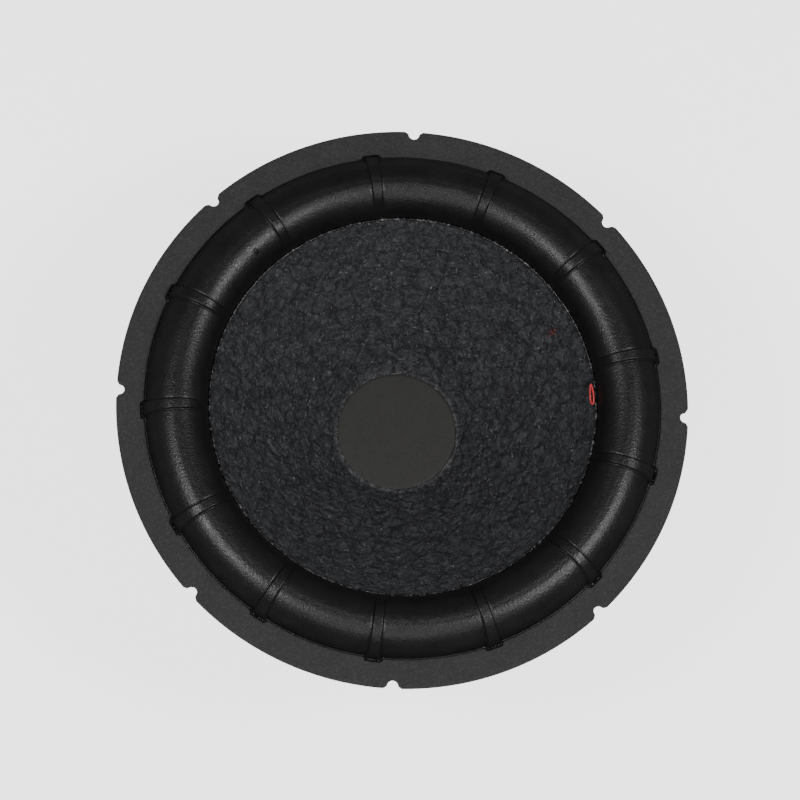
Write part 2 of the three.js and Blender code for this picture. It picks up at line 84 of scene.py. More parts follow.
RIM = high("front_gasket")[0]
GASKET_TOP = high("front_gasket")[2]
GASKET_BOTTOM = low("front_gasket")[2]
RIM_TOP = high("basket")[2]
CONE_EDGE = high("cone")[0]
CONE_TOP = high("cone")[2]
COLLAR_BOTTOM = low("cone")[2]
CAP_RADIUS = high("dust_cap")[0]
CAP_BOTTOM = low("dust_cap")[2]
CAP_TOP = high("dust_cap")[2]
NECK_HEIGHT = CAP_BOTTOM - 0.1
FORMER_RADIUS = high("voice_coil_former")[0]
NECK_RADIUS = FORMER_RADIUS + 1.95
CONE_SLOPE = (CONE_TOP - NECK_HEIGHT) / (CONE_EDGE - NECK_RADIUS)
SEAM_RADIUS = (high("seam_needle_thread")[0] + low("seam_needle_thread")[0] * -1) / 2 - 0.4
ROLL_CREST = high("surround")[2]
FLANGE_TOP = GASKET_BOTTOM - 0.1
FLANGE_RADIUS = high("surround")[0]
PLATE_BORE = high("coil_winding_outer")[0] + 0.95
LANDING_TOP = centre_of("spider")[2] - 0.5
TOWER = high("spider")[0] + 2.3

# ---- Sizes of the soft parts' detail ----

ROLL_OUTER = 139.5
ROLL_INNER = 105.4
RUBBER = 1.2
RIB_COUNT = 13
RIB_PHASE = math.radians(11.6)
RIB_DRIFT = math.radians(2.3)
RIB_HALF = math.radians(1.45)
RIB_PROUD = 1.5
RIB_TAB = 2.0
TAB_FLARE = 1.55
GROOVE_DEPTH = 0.35
PIP_AZIMUTH = math.radians(137.2)
PIP_RADIUS = 114.4
PIP_SPREAD = 1.0
PIP_HEIGHT = 0.95
SLOT_COUNT = 8
SLOT_DEPTH = 4.3
SLOT_END = 3.0
SLOT_MOUTH = 10.0
SLOT_CLEARANCE = 1.8
CONE_WALL = 1.3
LAND_LENGTH = 11.5
FIBRE_SPOT = (80.5, 47.0)

# ---- Sizes of the basket and motor ----

SHOULDER = 139.3
SPOKE_COUNT = 8
SPOKE_WIDTH = 19.0
SCREW_COUNT = 6
SCREW_CIRCLE = 61.0
SCREW_HOLE = 2.7
FLOOR_HOLE = PLATE_BORE + 9.5
FLOOR_THICKNESS = 3.2
LANDING_WIDTH = 12.5
VENT = 13.0
WIRE_LAYER = 0.65
# Half distances across each terminal, from its middle.
BUTTON_ACROSS = 6.0
HOUSING_HALF = 13.0
RIVET_ACROSS = 16.5
RIVET_HOLE = 1.8
WIRE_HOLE = 1.9


# ---- Mesh helpers ----

def linked(obj):
    bpy.context.scene.collection.objects.link(obj)
    return obj


def mesh_object(name, verts, faces, smooth=True):
    mesh = bpy.data.meshes.new(name)
    mesh.from_pydata((np.asarray(verts) * METRE).tolist(), [], faces)
    mesh.validate()
    if smooth:
        mesh.polygons.foreach_set("use_smooth", [True] * len(mesh.polygons))
    return linked(bpy.data.objects.new(name, mesh))


def around(azimuths, sections, name, closed=True):
    """A closed ring: sections[i] is the (radius, height) outline at azimuths[i], listed anticlockwise."""
    sections = np.asarray(sections, float)
    count, points = sections.shape[0], sections.shape[1]
    az = np.asarray(azimuths)[:, None]
    radius, height = sections[..., 0], sections[..., 1]
    verts = np.stack([radius * np.cos(az), radius * np.sin(az), height], -1).reshape(-1, 3)
    spans = points if closed else points - 1
    row = np.arange(count)[:, None] * points
    next_row = (np.arange(count)[:, None] + 1) % count * points
    col = np.arange(spans)[None, :]
    next_col = (col + 1) % points
    faces = np.stack([row + col, next_row + col, next_row + next_col, row + next_col], -1)
    return mesh_object(name, verts, faces.reshape(-1, 4).tolist())


def turned(name, outline, sides=180, closed=True):
    """A lathe piece. An outline that isn't closed starts and ends on the axis, and its poles are welded."""
    azimuths = np.arange(sides) * TAU / sides
    piece = around(azimuths, np.repeat(np.array(outline, float)[None], sides, 0), name, closed=closed)
    if not closed:
        weld(piece)
    return crease_sharp(piece)


def weld(piece):
    edit = bmesh.new()
    edit.from_mesh(piece.data)
    bmesh.ops.remove_doubles(edit, verts=edit.verts, dist=1e-6)
    edit.to_mesh(piece.data)
    edit.free()
    return piece


def crease_sharp(piece):
    """Smooth shading that breaks at edges sharper than CREASE_DEGREES."""
    mesh = piece.data
    mesh.polygons.foreach_set("use_smooth", [True] * len(mesh.polygons))
    mesh.set_sharp_from_angle(angle=math.radians(CREASE_DEGREES))
    return piece


def extruded(name, outline, bottom, top):
    """A prism over an anticlockwise outline in X and Y."""
    count = len(outline)
    verts = [(x, y, bottom) for x, y in outline] + [(x, y, top) for x, y in outline]
    faces = [tuple(range(count))[::-1], tuple(range(count, 2 * count))]
    faces += [(i, (i + 1) % count, count + (i + 1) % count, count + i) for i in range(count)]
    return mesh_object(name, verts, faces, smooth=False)


def cuboid(name, corner, opposite):
    (x0, y0, z0), (x1, y1, z1) = corner, opposite
    return extruded(name, [(x0, y0), (x1, y0), (x1, y1), (x0, y1)], z0, z1)


def post(name, middle, half, bottom, top):
    """A block round the point middle in X and Y."""
    (x, y), (half_x, half_y) = middle, half
    return cuboid(name, (x - half_x, y - half_y, bottom), (x + half_x, y + half_y, top))


def turned_mesh(piece, matrix):
    piece.data.transform(matrix)
    return piece


def moved(piece, x, y, z):
    return turned_mesh(piece, Matrix.Translation(Vector((x, y, z)) * METRE))


def copies(piece, azimuths):
    """The piece and its copies, turned about Z and joined."""
    made = []
    for index, azimuth in enumerate(azimuths):
        twin = linked(bpy.data.objects.new(f"{piece.name}_{index}", piece.data.copy()))
        made.append(turned_mesh(twin, Matrix.Rotation(azimuth, 4, "Z")))
    bpy.data.objects.remove(piece)
    return joined(made[0].name, made) if len(made) > 1 else made[0]


def shaped(piece, steps, bevel=0.0):
    """Applies boolean steps, each (operation, other piece), then an optional bevel in millimetres."""
    for operation, other in steps:
        modifier = piece.modifiers.new(operation, "BOOLEAN")
        modifier.operation = operation
        modifier.solver = "EXACT"
        modifier.object = other
    if bevel:
        modifier = piece.modifiers.new("bevel", "BEVEL")
        modifier.width = bevel * METRE
        modifier.segments = 2
        modifier.limit_method = "ANGLE"
        modifier.angle_limit = math.radians(40)
    bpy.context.view_layer.update()
    final = bpy.data.meshes.new_from_object(piece.evaluated_get(bpy.context.evaluated_depsgraph_get()))
    piece.modifiers.clear()
    piece.data = final
    for _, other in steps:
        bpy.data.objects.remove(other)
    return crease_sharp(piece)


def even_azimuths(count, phase=0.0):
    return [phase + index * TAU / count for index in range(count)]


def bend(start, middle, end, steps=6):
    """A short curve that starts towards the middle point and ends coming from it."""
    curve = [step / steps for step in range(steps + 1)]
    return [(1 - t) ** 2 * start + 2 * t * (1 - t) * middle + t * t * end for t in curve]


def rounded(outline, radius):
    """The closed outline with each corner replaced by a short curve."""
    points = [np.array(p, float) for p in outline]
    result = []
    for index, corner in enumerate(points):
        before = points[index - 1] - corner
        after = points[(index + 1) % len(points)] - corner
        reach = min(radius, np.linalg.norm(before) * 0.45, np.linalg.norm(after) * 0.45)
        start = corner + before / np.linalg.norm(before) * reach
        end = corner + after / np.linalg.norm(after) * reach
        result += bend(start, corner, end, 3)
    return result


def smoothstep(value, start, end):
    t = np.clip((value - start) / (end - start), 0, 1)
    return t * t * (3 - 2 * t)


def slot_reach(azimuths, rim):
    """The ring's outer radius at each azimuth, with the eight open slots cut in."""
    pitch = TAU / SLOT_COUNT
    offset = (np.asarray(azimuths) + pitch / 2) % pitch - pitch / 2
    across = np.abs(rim * np.tan(offset))
    end_centre = rim - SLOT_DEPTH + SLOT_END
    inside = np.sqrt(np.clip(SLOT_END ** 2 - across ** 2, 0, None))
    rounded_end = end_centre - inside
    flare = end_centre + (across - SLOT_END) / (SLOT_MOUTH / 2 - SLOT_END) * (rim - end_centre)
    reach = np.where(across < SLOT_END, rounded_end, flare)
    return np.minimum(reach, rim)


def rib_azimuths():
    even = RIB_PHASE + np.arange(RIB_COUNT) * TAU / RIB_COUNT
    settled = even + RIB_DRIFT * np.cos(even)
    return -(even + RIB_DRIFT * np.cos(settled))


def rib_offset(azimuths):
    """The signed angle from the nearest rib's middle."""
    gap = np.asarray(azimuths)[:, None] - rib_azimuths()[None]
    gap = (gap + math.pi) % TAU - math.pi
    nearest = np.abs(gap).argmin(1)
    return gap[np.arange(len(gap)), nearest]


def ring_azimuths(extra, coarse):
    """Even steps with finer ones packed round each azimuth in extra, as (middle, half span, count)."""
    samples = list(np.arange(coarse) * TAU / coarse)
    for middle, half, count in extra:
        keep = [a for a in samples if abs((a - middle + math.pi) % TAU - math.pi) > half]
        samples = keep + [(middle + half * (2 * i / count - 1)) % TAU for i in range(count + 1)]
    return np.array(sorted(samples))


def ring_noise(azimuth, reach, layer):
    """Smooth noise round a ring; a larger reach gives finer waves."""
    return noise.noise(Vector((math.cos(azimuth) * reach, math.sin(azimuth) * reach, layer)))


def assign(piece, material):
    piece.data.materials.clear()
    piece.data.materials.append(material)
    return piece


def place(piece, material, body, slot, *nodes):
    assign(piece, material)
    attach(piece, body)
    if nodes:
        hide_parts(*nodes)
    return piece


def strung(piece, material, node):
    """Gives the piece its material, bakes its place into the mesh and hides the CAD part it replaces."""
    assign(piece, material)
    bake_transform(piece)
    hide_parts(node)


# ---- Materials ----

class Shader:
    """A Principled material whose colour, roughness and bump come from textures in object space."""

    def __init__(self, name, color, roughness, metallic=0.0):
        self.material = bpy.data.materials.new(name)
        self.material.use_nodes = True
        self.links = self.material.node_tree.links
        self.bsdf = self.material.node_tree.nodes["Principled BSDF"]
        self.bsdf.inputs["Base Color"].default_value = (*color, 1)
        self.bsdf.inputs["Roughness"].default_value = roughness
        self.bsdf.inputs["Metallic"].default_value = metallic
        self.place = self.node("TexCoord").outputs["Object"]
        self.height = None

    def node(self, kind, values=()):
        """A new node, with default values set on the named inputs."""
        node = self.material.node_tree.nodes.new("ShaderNode" + kind)
        for name, value in dict(values).items():
            node.inputs[name].default_value = value
        return node

    def stretched(self, scale):
        mapping = self.node("Mapping", {"Scale": scale})
        self.links.new(self.place, mapping.inputs["Vector"])
        return mapping.outputs["Vector"]

    def noise(self, scale, detail=4.0, rough=0.6, distortion=0.0, stretch=None):
        values = {"Scale": scale, "Detail": detail, "Roughness": rough, "Distortion": distortion}
        node = self.node("TexNoise", values)
        self.links.new(self.stretched(stretch) if stretch else self.place, node.inputs["Vector"])
        return node.outputs["Fac"]

    def cells(self, scale, feature="F1", stretch=None, warp=None):
        node = self.node("TexVoronoi", {"Scale": scale})
        node.feature = feature
        place = self.stretched(stretch) if stretch else self.place
        self.links.new(self.warped(*warp) if warp else place, node.inputs["Vector"])
        return node.outputs["Distance"]

    def warped(self, scale, reach):
        """The place, pushed about by noise by up to half the reach in millimetres."""
        push = self.node("TexNoise", {"Scale": scale, "Detail": 4.0})
        self.links.new(self.place, push.inputs["Vector"])
        node = self.node("VectorMath")
        node.operation = "MULTIPLY_ADD"
        node.inputs[1].default_value = (reach * METRE,) * 3
        self.links.new(push.outputs["Color"], node.inputs[0])
        self.links.new(self.place, node.inputs[2])
        return node.outputs["Vector"]

    def radius(self):
        """The distance from the Z axis, in metres."""
        node = self.node("VectorMath")
        node.operation = "LENGTH"
        self.links.new(self.stretched((1, 1, 0)), node.inputs[0])
        return node.outputs["Value"]

    def ramp(self, fac, stops):
        node = self.node("ValToRGB")
        for element, (position, color) in zip(node.color_ramp.elements, (stops[0], stops[-1])):
            element.position = position
            element.color = (*color, 1)
        for position, color in stops[1:-1]:
            node.color_ramp.elements.new(position).color = (*color, 1)
        self.links.new(fac, node.inputs["Fac"])
        return node.outputs["Color"]

    def level(self, fac, start, end, low_value, high_value):
        """The factor's span from start to end, mapped to the two values and held beyond them."""
        limits = {"From Min": start, "From Max": end, "To Min": low_value, "To Max": high_value}
        node = self.node("MapRange", limits)
        self.links.new(fac, node.inputs["Value"])
        return node.outputs["Result"]

    def blend(self, fac, first, second):
        node = self.node("Mix")
        node.data_type = "RGBA"
        for socket, value in (("Factor", fac), ("A", first), ("B", second)):
            self.feed(node.inputs[socket], value)
        return node.outputs["Result"]

    def feed(self, socket, value):
        if hasattr(value, "is_linked"):
            self.links.new(value, socket)
        elif isinstance(value, tuple):
            socket.default_value = (*value, 1)
        else:
            socket.default_value = value

    def color(self, socket):
        self.links.new(socket, self.bsdf.inputs["Base Color"])

    def mottle(self, scale, detail, dark, light):
        self.color(self.ramp(self.noise(scale, detail), [(0.3, dark), (0.7, light)]))

    def roughness(self, socket):
        self.links.new(socket, self.bsdf.inputs["Roughness"])

    def bump(self, fac, depth_mm, strength=1.0):
        node = self.node("Bump", {"Strength": strength, "Distance": depth_mm * METRE})
        self.links.new(fac, node.inputs["Height"])
        if self.height:
            self.links.new(self.height, node.inputs["Normal"])
        self.height = node.outputs["Normal"]
        self.links.new(self.height, self.bsdf.inputs["Normal"])


def grey(value, warm=0.0):
    return (value * (1 + warm), value, value * (1 - warm))


def moulded_rubber():
    s = Shader("moulded_rubber", grey(0.008), 0.36)
    s.mottle(60, 3, grey(0.006), grey(0.01))
    s.roughness(s.level(s.noise(260, 3), 0.32, 0.7, 0.32, 0.42))
    s.bump(s.noise(850, 2, 0.6), 0.2, 0.95)
    s.bump(s.noise(120, 2), 0.05, 0.5)
    s.bsdf.inputs["Specular IOR Level"].default_value = 0.42
    return s.material


def pressed_board():
    s = Shader("gasket_board", grey(0.03, 0.02), 0.85)
    speckle = s.noise(820, 3, 0.75)
    base = s.ramp(speckle, [(0.32, grey(0.014, 0.02)), (0.5, grey(0.028, 0.02)), (0.72, grey(0.07, 0.02))])
    s.color(s.blend(0.3, base, s.ramp(s.noise(45, 3), [(0.3, grey(0.02)), (0.7, grey(0.04))])))
    s.roughness(s.level(speckle, 0.3, 0.7, 0.74, 0.95))
    s.bump(speckle, 0.14, 0.8)
    return s.material


def wrinkled_pulp():
    s = Shader("wrinkled_pulp", (0.02, 0.021, 0.024), 0.92)
    felt = s.noise(760, 5, 0.75)
    creases = s.noise(190, 5, 0.62, 1.6)
    pulp = [(0.3, (0.012, 0.0123, 0.0138)), (0.5, (0.029, 0.0296, 0.0326)), (0.74, (0.105, 0.106, 0.113))]
    # Painted shade and painted light: the crease bump's dips are coloured darker and its ridges lighter.
    crease_shading_stops = [(0.34, (0.006, 0.0062, 0.0072)), (0.5, (0.03, 0.0306, 0.034)), (0.66, (0.075, 0.0764, 0.082))]
    base, crease_shading = s.ramp(felt, pulp), s.ramp(creases, crease_shading_stops)
    mixed = s.blend(0.5, base, crease_shading)
    along = s.noise(620, 2, 0.5, 3.0, (1.0, 0.22, 1.0))
    across = s.noise(560, 2, 0.5, 3.0, (0.22, 1.0, 1.0))
    folds = s.cells(95, "DISTANCE_TO_EDGE", warp=(260, 9))
    # Painted shade: the fold lines, which the bump sinks into grooves, are darkened towards black.
    mixed = s.blend(s.level(folds, 0.0, 0.07, 0.75, 0.0), mixed, (0.007, 0.0072, 0.008))
    mixed = s.blend(s.level(along, 0.665, 0.72, 0.0, 0.7), mixed, (0.26, 0.26, 0.27))
    mixed = s.blend(s.level(across, 0.675, 0.73, 0.0, 0.7), mixed, (0.22, 0.22, 0.23))
    torn = s.ramp(s.noise(330, 4, 0.75, 0.8), [(0.47, (0.0, 0.0, 0.0)), (0.66, (0.6, 0.6, 0.6))])
    near_neck = s.level(s.radius(), (NECK_RADIUS + 2.4) * METRE, (NECK_RADIUS - 0.6) * METRE, 0.0, 1.0)
    mixed = s.blend(s.blend(near_neck, (0.0, 0.0, 0.0), torn), mixed, (0.2, 0.2, 0.195))
    s.color(mixed)
    s.roughness(s.level(felt, 0.3, 0.7, 0.8, 0.97))
    s.bump(felt, 0.3, 0.9)
    s.bump(creases, 0.6, 0.9)
    s.bump(s.level(folds, 0.0, 0.12, 0.0, 1.0), 0.35, 0.8)
    s.bsdf.inputs["Specular IOR Level"].default_value = 0.3
    return s.material


def smooth_board():
    s = Shader("cap_board", (0.015, 0.0143, 0.0122), 0.6)
    s.mottle(40, 3, (0.0135, 0.0129, 0.011), (0.0163, 0.0155, 0.0135))
    s.roughness(s.level(s.noise(500, 3), 0.3, 0.7, 0.55, 0.7))
    s.bump(s.noise(1800, 2), 0.02, 0.4)
    return s.material


def glossy_glue():
    s = Shader("glossy_glue", grey(0.016), 0.3)
    fibres = s.noise(420, 5, 0.8)
    # The light flecks are partly pale fibres and partly painted glints along the bead.
    s.color(s.ramp(fibres, [(0.44, grey(0.007)), (0.56, grey(0.035)), (0.66, grey(0.35))]))
    s.roughness(s.level(fibres, 0.4, 0.7, 0.15, 0.55))
    s.bump(s.noise(420, 3), 0.25, 0.7)
    return s.material


def thread(name, dark, light, roughness=0.7):
    s = Shader(name, light, roughness)
    twist = s.noise(1800, 2, 0.5, 0.0)
    s.color(s.ramp(twist, [(0.35, dark), (0.65, light)]))
    s.bump(twist, 0.12, 0.8)
    s.bsdf.inputs["Sheen Weight"].default_value = 0.2
    return s.material


def boot_rubber():
    s = Shader("boot_rubber", grey(0.016), 0.55)
    s.mottle(50, 3, grey(0.012), grey(0.02))
    s.roughness(s.level(s.noise(260, 4), 0.35, 0.7, 0.45, 0.62))
    s.bump(s.noise(2200, 2, 0.7), 0.05, 0.6)
    return s.material


def powder_coat():
    s = Shader("powder_coat", grey(0.017), 0.42)
    s.mottle(70, 3, grey(0.014), grey(0.021))
    s.roughness(s.level(s.noise(200, 4), 0.35, 0.7, 0.36, 0.52))
    s.bump(s.cells(1400), 0.06, 0.7)
    s.bump(s.noise(160, 3), 0.06, 0.5)
    return s.material


def metal(name, dark, light, roughness, grain=420, stretch=None):
    s = Shader(name, light, sum(roughness) / 2, 1.0)
    s.mottle(55, 4, dark, light)
    fine = s.noise(grain, 4, 0.6, 0.0, stretch)
    s.roughness(s.level(fine, 0.3, 0.7, *roughness))
    s.bump(fine, 0.02, 0.6)
    return s.material


def sintered_ferrite():
    s = Shader("sintered_ferrite", grey(0.05), 0.6)
    speckle = s.noise(900, 4, 0.7)
    tones = [(0.3, grey(0.032, -0.02)), (0.55, grey(0.05, -0.02)), (0.75, grey(0.085, -0.02))]
    s.color(s.ramp(speckle, tones))
    s.roughness(s.level(s.noise(120, 3), 0.3, 0.7, 0.5, 0.72))
    s.bump(speckle, 0.06, 0.7)
    s.bsdf.inputs["Metallic"].default_value = 0.25
    return s.material


def woven_cloth():
    s = Shader("woven_cloth", (0.30, 0.15, 0.05), 0.85)
    warp = s.cells(900, "F1", (1.0, 0.45, 1.0))
    weft = s.cells(900, "F1", (0.45, 1.0, 1.0))
    weave = s.blend(0.5, warp, weft)
    base = s.ramp(weave, [(0.1, (0.6, 0.36, 0.15)), (0.5, (0.44, 0.24, 0.09)), (0.8, (0.24, 0.12, 0.04))])
    s.color(s.blend(0.3, base, s.ramp(s.noise(60, 4), [(0.3, (0.36, 0.2, 0.08)), (0.7, (0.6, 0.36, 0.15))])))
    s.roughness(s.level(s.noise(300, 3), 0.3, 0.7, 0.7, 0.92))
    s.bump(weave, 0.16, 0.8)
    return s.material


def moulded_plastic(name, dark, light, roughness=(0.32, 0.48)):
    s = Shader(name, light, sum(roughness) / 2)
    s.mottle(90, 3, dark, light)
    s.roughness(s.level(s.noise(400, 4), 0.3, 0.7, *roughness))
    s.bump(s.noise(1600, 2), 0.03, 0.5)
    return s.material


def lead_braid():
    s = Shader("lead_braid", (0.5, 0.33, 0.18), 0.45, 0.85)
    strands = s.cells(1500, "F1", (1.0, 2.2, 1.0))
    copper = [(0.1, (0.66, 0.46, 0.27)), (0.5, (0.42, 0.26, 0.13)), (0.8, (0.16, 0.09, 0.04))]
    s.color(s.ramp(strands, copper))
    s.roughness(s.level(strands, 0.1, 0.8, 0.35, 0.6))
    s.bump(strands, 0.22, 0.9)
    return s.material


# ---- Camera, lights and floor ----

# The camera's place in rim radii from the gasket's middle, and its turn about X, Y and Z in degrees.
CAMERA_PLACE = (-0.486, -2.4217, 9.6663)
CAMERA_TURN = (13.992, -3.34, 2.165)
CAMERA_LENS = 128.7
WORLD_LIGHT = 0.12
FLOOR_GLOW = 2.2
FLOOR_REACH = 60000
FLOOR_LEVEL = -0.3
LIGHT_DISTANCE = 1.7
# Each light's name, direction from the cone, size in metres and power in watts.
KEY_LIGHTS = [
    ("softbox_right", (0.49, -0.12, 0.865), (0.34, 0.42), 13.5),
    ("softbox_left", (-0.44, -0.16, 0.89), (0.32, 0.42), 12.5),
    ("fill_front", (0.0, -0.62, 0.78), (1.0, 0.4), 4.2),
]


def look_through_camera():
    data = bpy.data.cameras.new("camera")
    data.sensor_width = 36.0
    data.lens = CAMERA_LENS
    data.clip_end = 20.0
    camera = linked(bpy.data.objects.new("camera", data))
    camera.location = (Vector(CAMERA_PLACE) * RIM + Vector((0, 0, GASKET_TOP))) * METRE
    camera.rotation_euler = [math.radians(angle) for angle in CAMERA_TURN]
    bpy.context.scene.camera = camera


def area_light(name, place, aim, size, power):
    data = bpy.data.lights.new(name, "AREA")
    data.shape = "RECTANGLE"
    data.size, data.size_y = size
    data.energy = power
    light = linked(bpy.data.objects.new(name, data))
    light.location = place
    light.rotation_euler = (Vector(aim) - Vector(place)).to_track_quat("-Z", "Y").to_euler()


def studio():
    world = bpy.data.worlds.new("studio")
    bpy.context.scene.world = world
    world.use_nodes = True
    background = world.node_tree.nodes["Background"]
    background.inputs["Color"].default_value = (0.97, 0.985, 1.0, 1)
    background.inputs["Strength"].default_value = WORLD_LIGHT
    centre = Vector((0, 0, 0.15))
    for name, toward, size, power in KEY_LIGHTS:
        area_light(name, centre + Vector(toward) * LIGHT_DISTANCE, centre, size, power)
    reach = FLOOR_REACH
    corners = [(-reach, -reach), (reach, -reach), (reach, reach), (-reach, reach)]
    floor = mesh_object("floor", [(x, y, FLOOR_LEVEL) for x, y in corners], [(0, 1, 2, 3)])
    s = Shader("pale_floor", (0.9, 0.9, 0.9), 0.8)
    s.mottle(3, 2, grey(0.89), grey(0.91))
    s.bsdf.inputs["Emission Color"].default_value = (1, 1, 1, 1)
    s.bsdf.inputs["Emission Strength"].default_value = FLOOR_GLOW
    assign(floor, s.material)
    floor.visible_glossy = False


# ---- Gasket, surround and cone ----

def slot_samples(count):
    return [(k * TAU / SLOT_COUNT, math.atan(1.15 * SLOT_MOUTH / 2 / RIM), count) for k in range(SLOT_COUNT)]


def rib_samples(count):
    return [(a % TAU, RIB_HALF * 1.9, count) for a in rib_azimuths()]


def gasket_ring():
    azimuths = ring_azimuths(slot_samples(40) + rib_samples(24), 720)
    outer = slot_reach(azimuths, RIM)
    from_rib = np.abs(rib_offset(azimuths)) * ROLL_OUTER
    half = RIB_HALF * ROLL_OUTER * TAB_FLARE
    relief = 1 - smoothstep(from_rib, half * 0.74, half * 1.02)
    inner = ROLL_OUTER + 0.45 + RIB_TAB * relief
    rough = np.array([ring_noise(a, 60, 0) for a in azimuths])
    inner = inner + 0.06 * rough
    edge = 0.45
    sections = []
    for r_in, r_out in zip(inner, outer):
        flat = np.linspace(r_out - edge, r_in + edge, 8)
        section = [(r_in + 0.2, GASKET_BOTTOM), (r_out - 0.2, GASKET_BOTTOM), (r_out, GASKET_BOTTOM + 0.2)]
        section += [(r_out, GASKET_TOP - edge), (r_out - edge * 0.3, GASKET_TOP - edge * 0.3)]
        section += [(r, GASKET_TOP) for r in flat]
        section += [(r_in + edge * 0.3, GASKET_TOP - edge * 0.3), (r_in, GASKET_TOP - edge)]
        section += [(r_in, GASKET_BOTTOM + 0.2)]
        sections.append(section)
    return around(azimuths, sections, "gasket_ring")


def cone_face(radius):
    return CONE_TOP - CONE_SLOPE * (CONE_EDGE - np.asarray(radius, float))


def roll_points(steps):
    """The plain roll's outline from the outer foot to the inner foot: angle, radius and height."""
    middle = (ROLL_OUTER + ROLL_INNER) / 2
    half = (ROLL_OUTER - ROLL_INNER) / 2
    rise = ROLL_CREST - RIB_PROUD - FLANGE_TOP
    angle = np.linspace(0, math.pi, steps)
    return angle, middle + half * np.cos(angle), FLANGE_TOP + rise * np.sin(angle)


def roll_surface():
    pip_samples = [(PIP_AZIMUTH, 3 * PIP_SPREAD / PIP_RADIUS, 20)]
    azimuths = ring_azimuths(slot_samples(24) + rib_samples(30) + pip_samples, 624)
    steps = 64
    angle, radius, height = roll_points(steps)
    normal = np.stack([np.cos(angle), np.sin(angle)], -1)
    offset = rib_offset(azimuths)
    away = np.abs(offset) / RIB_HALF
    along = np.degrees(angle)
    flare = 1 + (TAB_FLARE - 1) * (1 - smoothstep(along, -2, 30))
    spread = away[:, None] / flare[None]
    band = 1 - smoothstep(spread, 0.80, 0.98)
    groove = np.exp(-((spread - 1.03) / 0.09) ** 2)
    proud = RIB_PROUD * (1 - smoothstep(along, 108, 150)) * smoothstep(along, -20, 14)
    groove_depth = GROOVE_DEPTH * smoothstep(along, 2, 14) * (1 - smoothstep(along, 150, 172))
    crease = -0.16 * np.exp(-((along - 90) / 1.6) ** 2)
    shift = band * proud[None] - groove * groove_depth[None] + crease[None]
    pip_arc = ((azimuths - PIP_AZIMUTH + math.pi) % TAU - math.pi) * PIP_RADIUS
    from_pip = np.hypot(pip_arc[:, None], (radius - PIP_RADIUS)[None] * 1.5)
    on_inner_side = (along > 90)[None]
    shift = shift + PIP_HEIGHT * np.exp(-(from_pip / PIP_SPREAD) ** 2) * on_inner_side
    top_r = radius[None] + shift * normal[None, :, 0]
    top_z = height[None] + shift * normal[None, :, 1]
    outer = slot_reach(azimuths, FLANGE_RADIUS)
    tab = RIB_TAB * (1 - smoothstep(away / TAB_FLARE, 0.72, 1.0))
    land_inner = CONE_EDGE - LAND_LENGTH
    wall = RUBBER * math.hypot(1, CONE_SLOPE)
    under_cone = CONE_WALL * math.hypot(1, CONE_SLOPE) + 0.14
    sections = []
    for i in range(len(azimuths)):
        flange = [(outer[i], FLANGE_TOP - RUBBER), (outer[i], FLANGE_TOP)]
        foot = ROLL_OUTER + 0.28 + tab[i]
        step = GASKET_TOP - FLANGE_TOP - 0.35 + 0.9 * tab[i] / RIB_TAB
        flange += [(foot, FLANGE_TOP), (foot, FLANGE_TOP + 0.5 * step), (foot - 0.06, FLANGE_TOP + step)]
        roll = list(zip(np.minimum(top_r[i], foot - 0.1), np.maximum(top_z[i], FLANGE_TOP + step)))
        roll[-6:] = list(zip(top_r[i][-6:], top_z[i][-6:]))
        land = [(r, cone_face(r) - under_cone) for r in (CONE_EDGE, land_inner)]
        land += [(r, cone_face(r) - under_cone - wall) for r in (land_inner, CONE_EDGE)]
        back_angle = np.linspace(math.pi, 0, 28)
        half = (ROLL_OUTER - ROLL_INNER) / 2 - RUBBER
        rise = ROLL_CREST - RIB_PROUD - FLANGE_TOP
        middle = (ROLL_OUTER + ROLL_INNER) / 2
        back = [(middle + half * math.cos(a), FLANGE_TOP - RUBBER + rise * math.sin(a)) for a in back_angle]
        sections.append(flange + roll + land + back)
    return around(azimuths, sections, "surround_roll")


def wrinkles(point):
    """The paper's crumpled relief at a point, from about -1 to 1."""
    warp = noise.noise_vector(point * 0.045) * 5.0
    folds = 1 - abs(noise.noise((point + warp) * 0.16))
    small = 1 - abs(noise.noise((point + warp * 0.6) * 0.37 + Vector((31, 7, 5))))
    fine = noise.noise(point * 0.95 + Vector((3, 11, 23)))
    near, second = noise.voronoi((point + warp * 1.3) * 0.1)[0][:2]
    crease = math.exp(-((second - near) / 0.09) ** 2)
    return 0.9 * (folds ** 3 - 0.45) + 0.45 * (small ** 2 - 0.6) + 0.2 * fine - 0.6 * crease


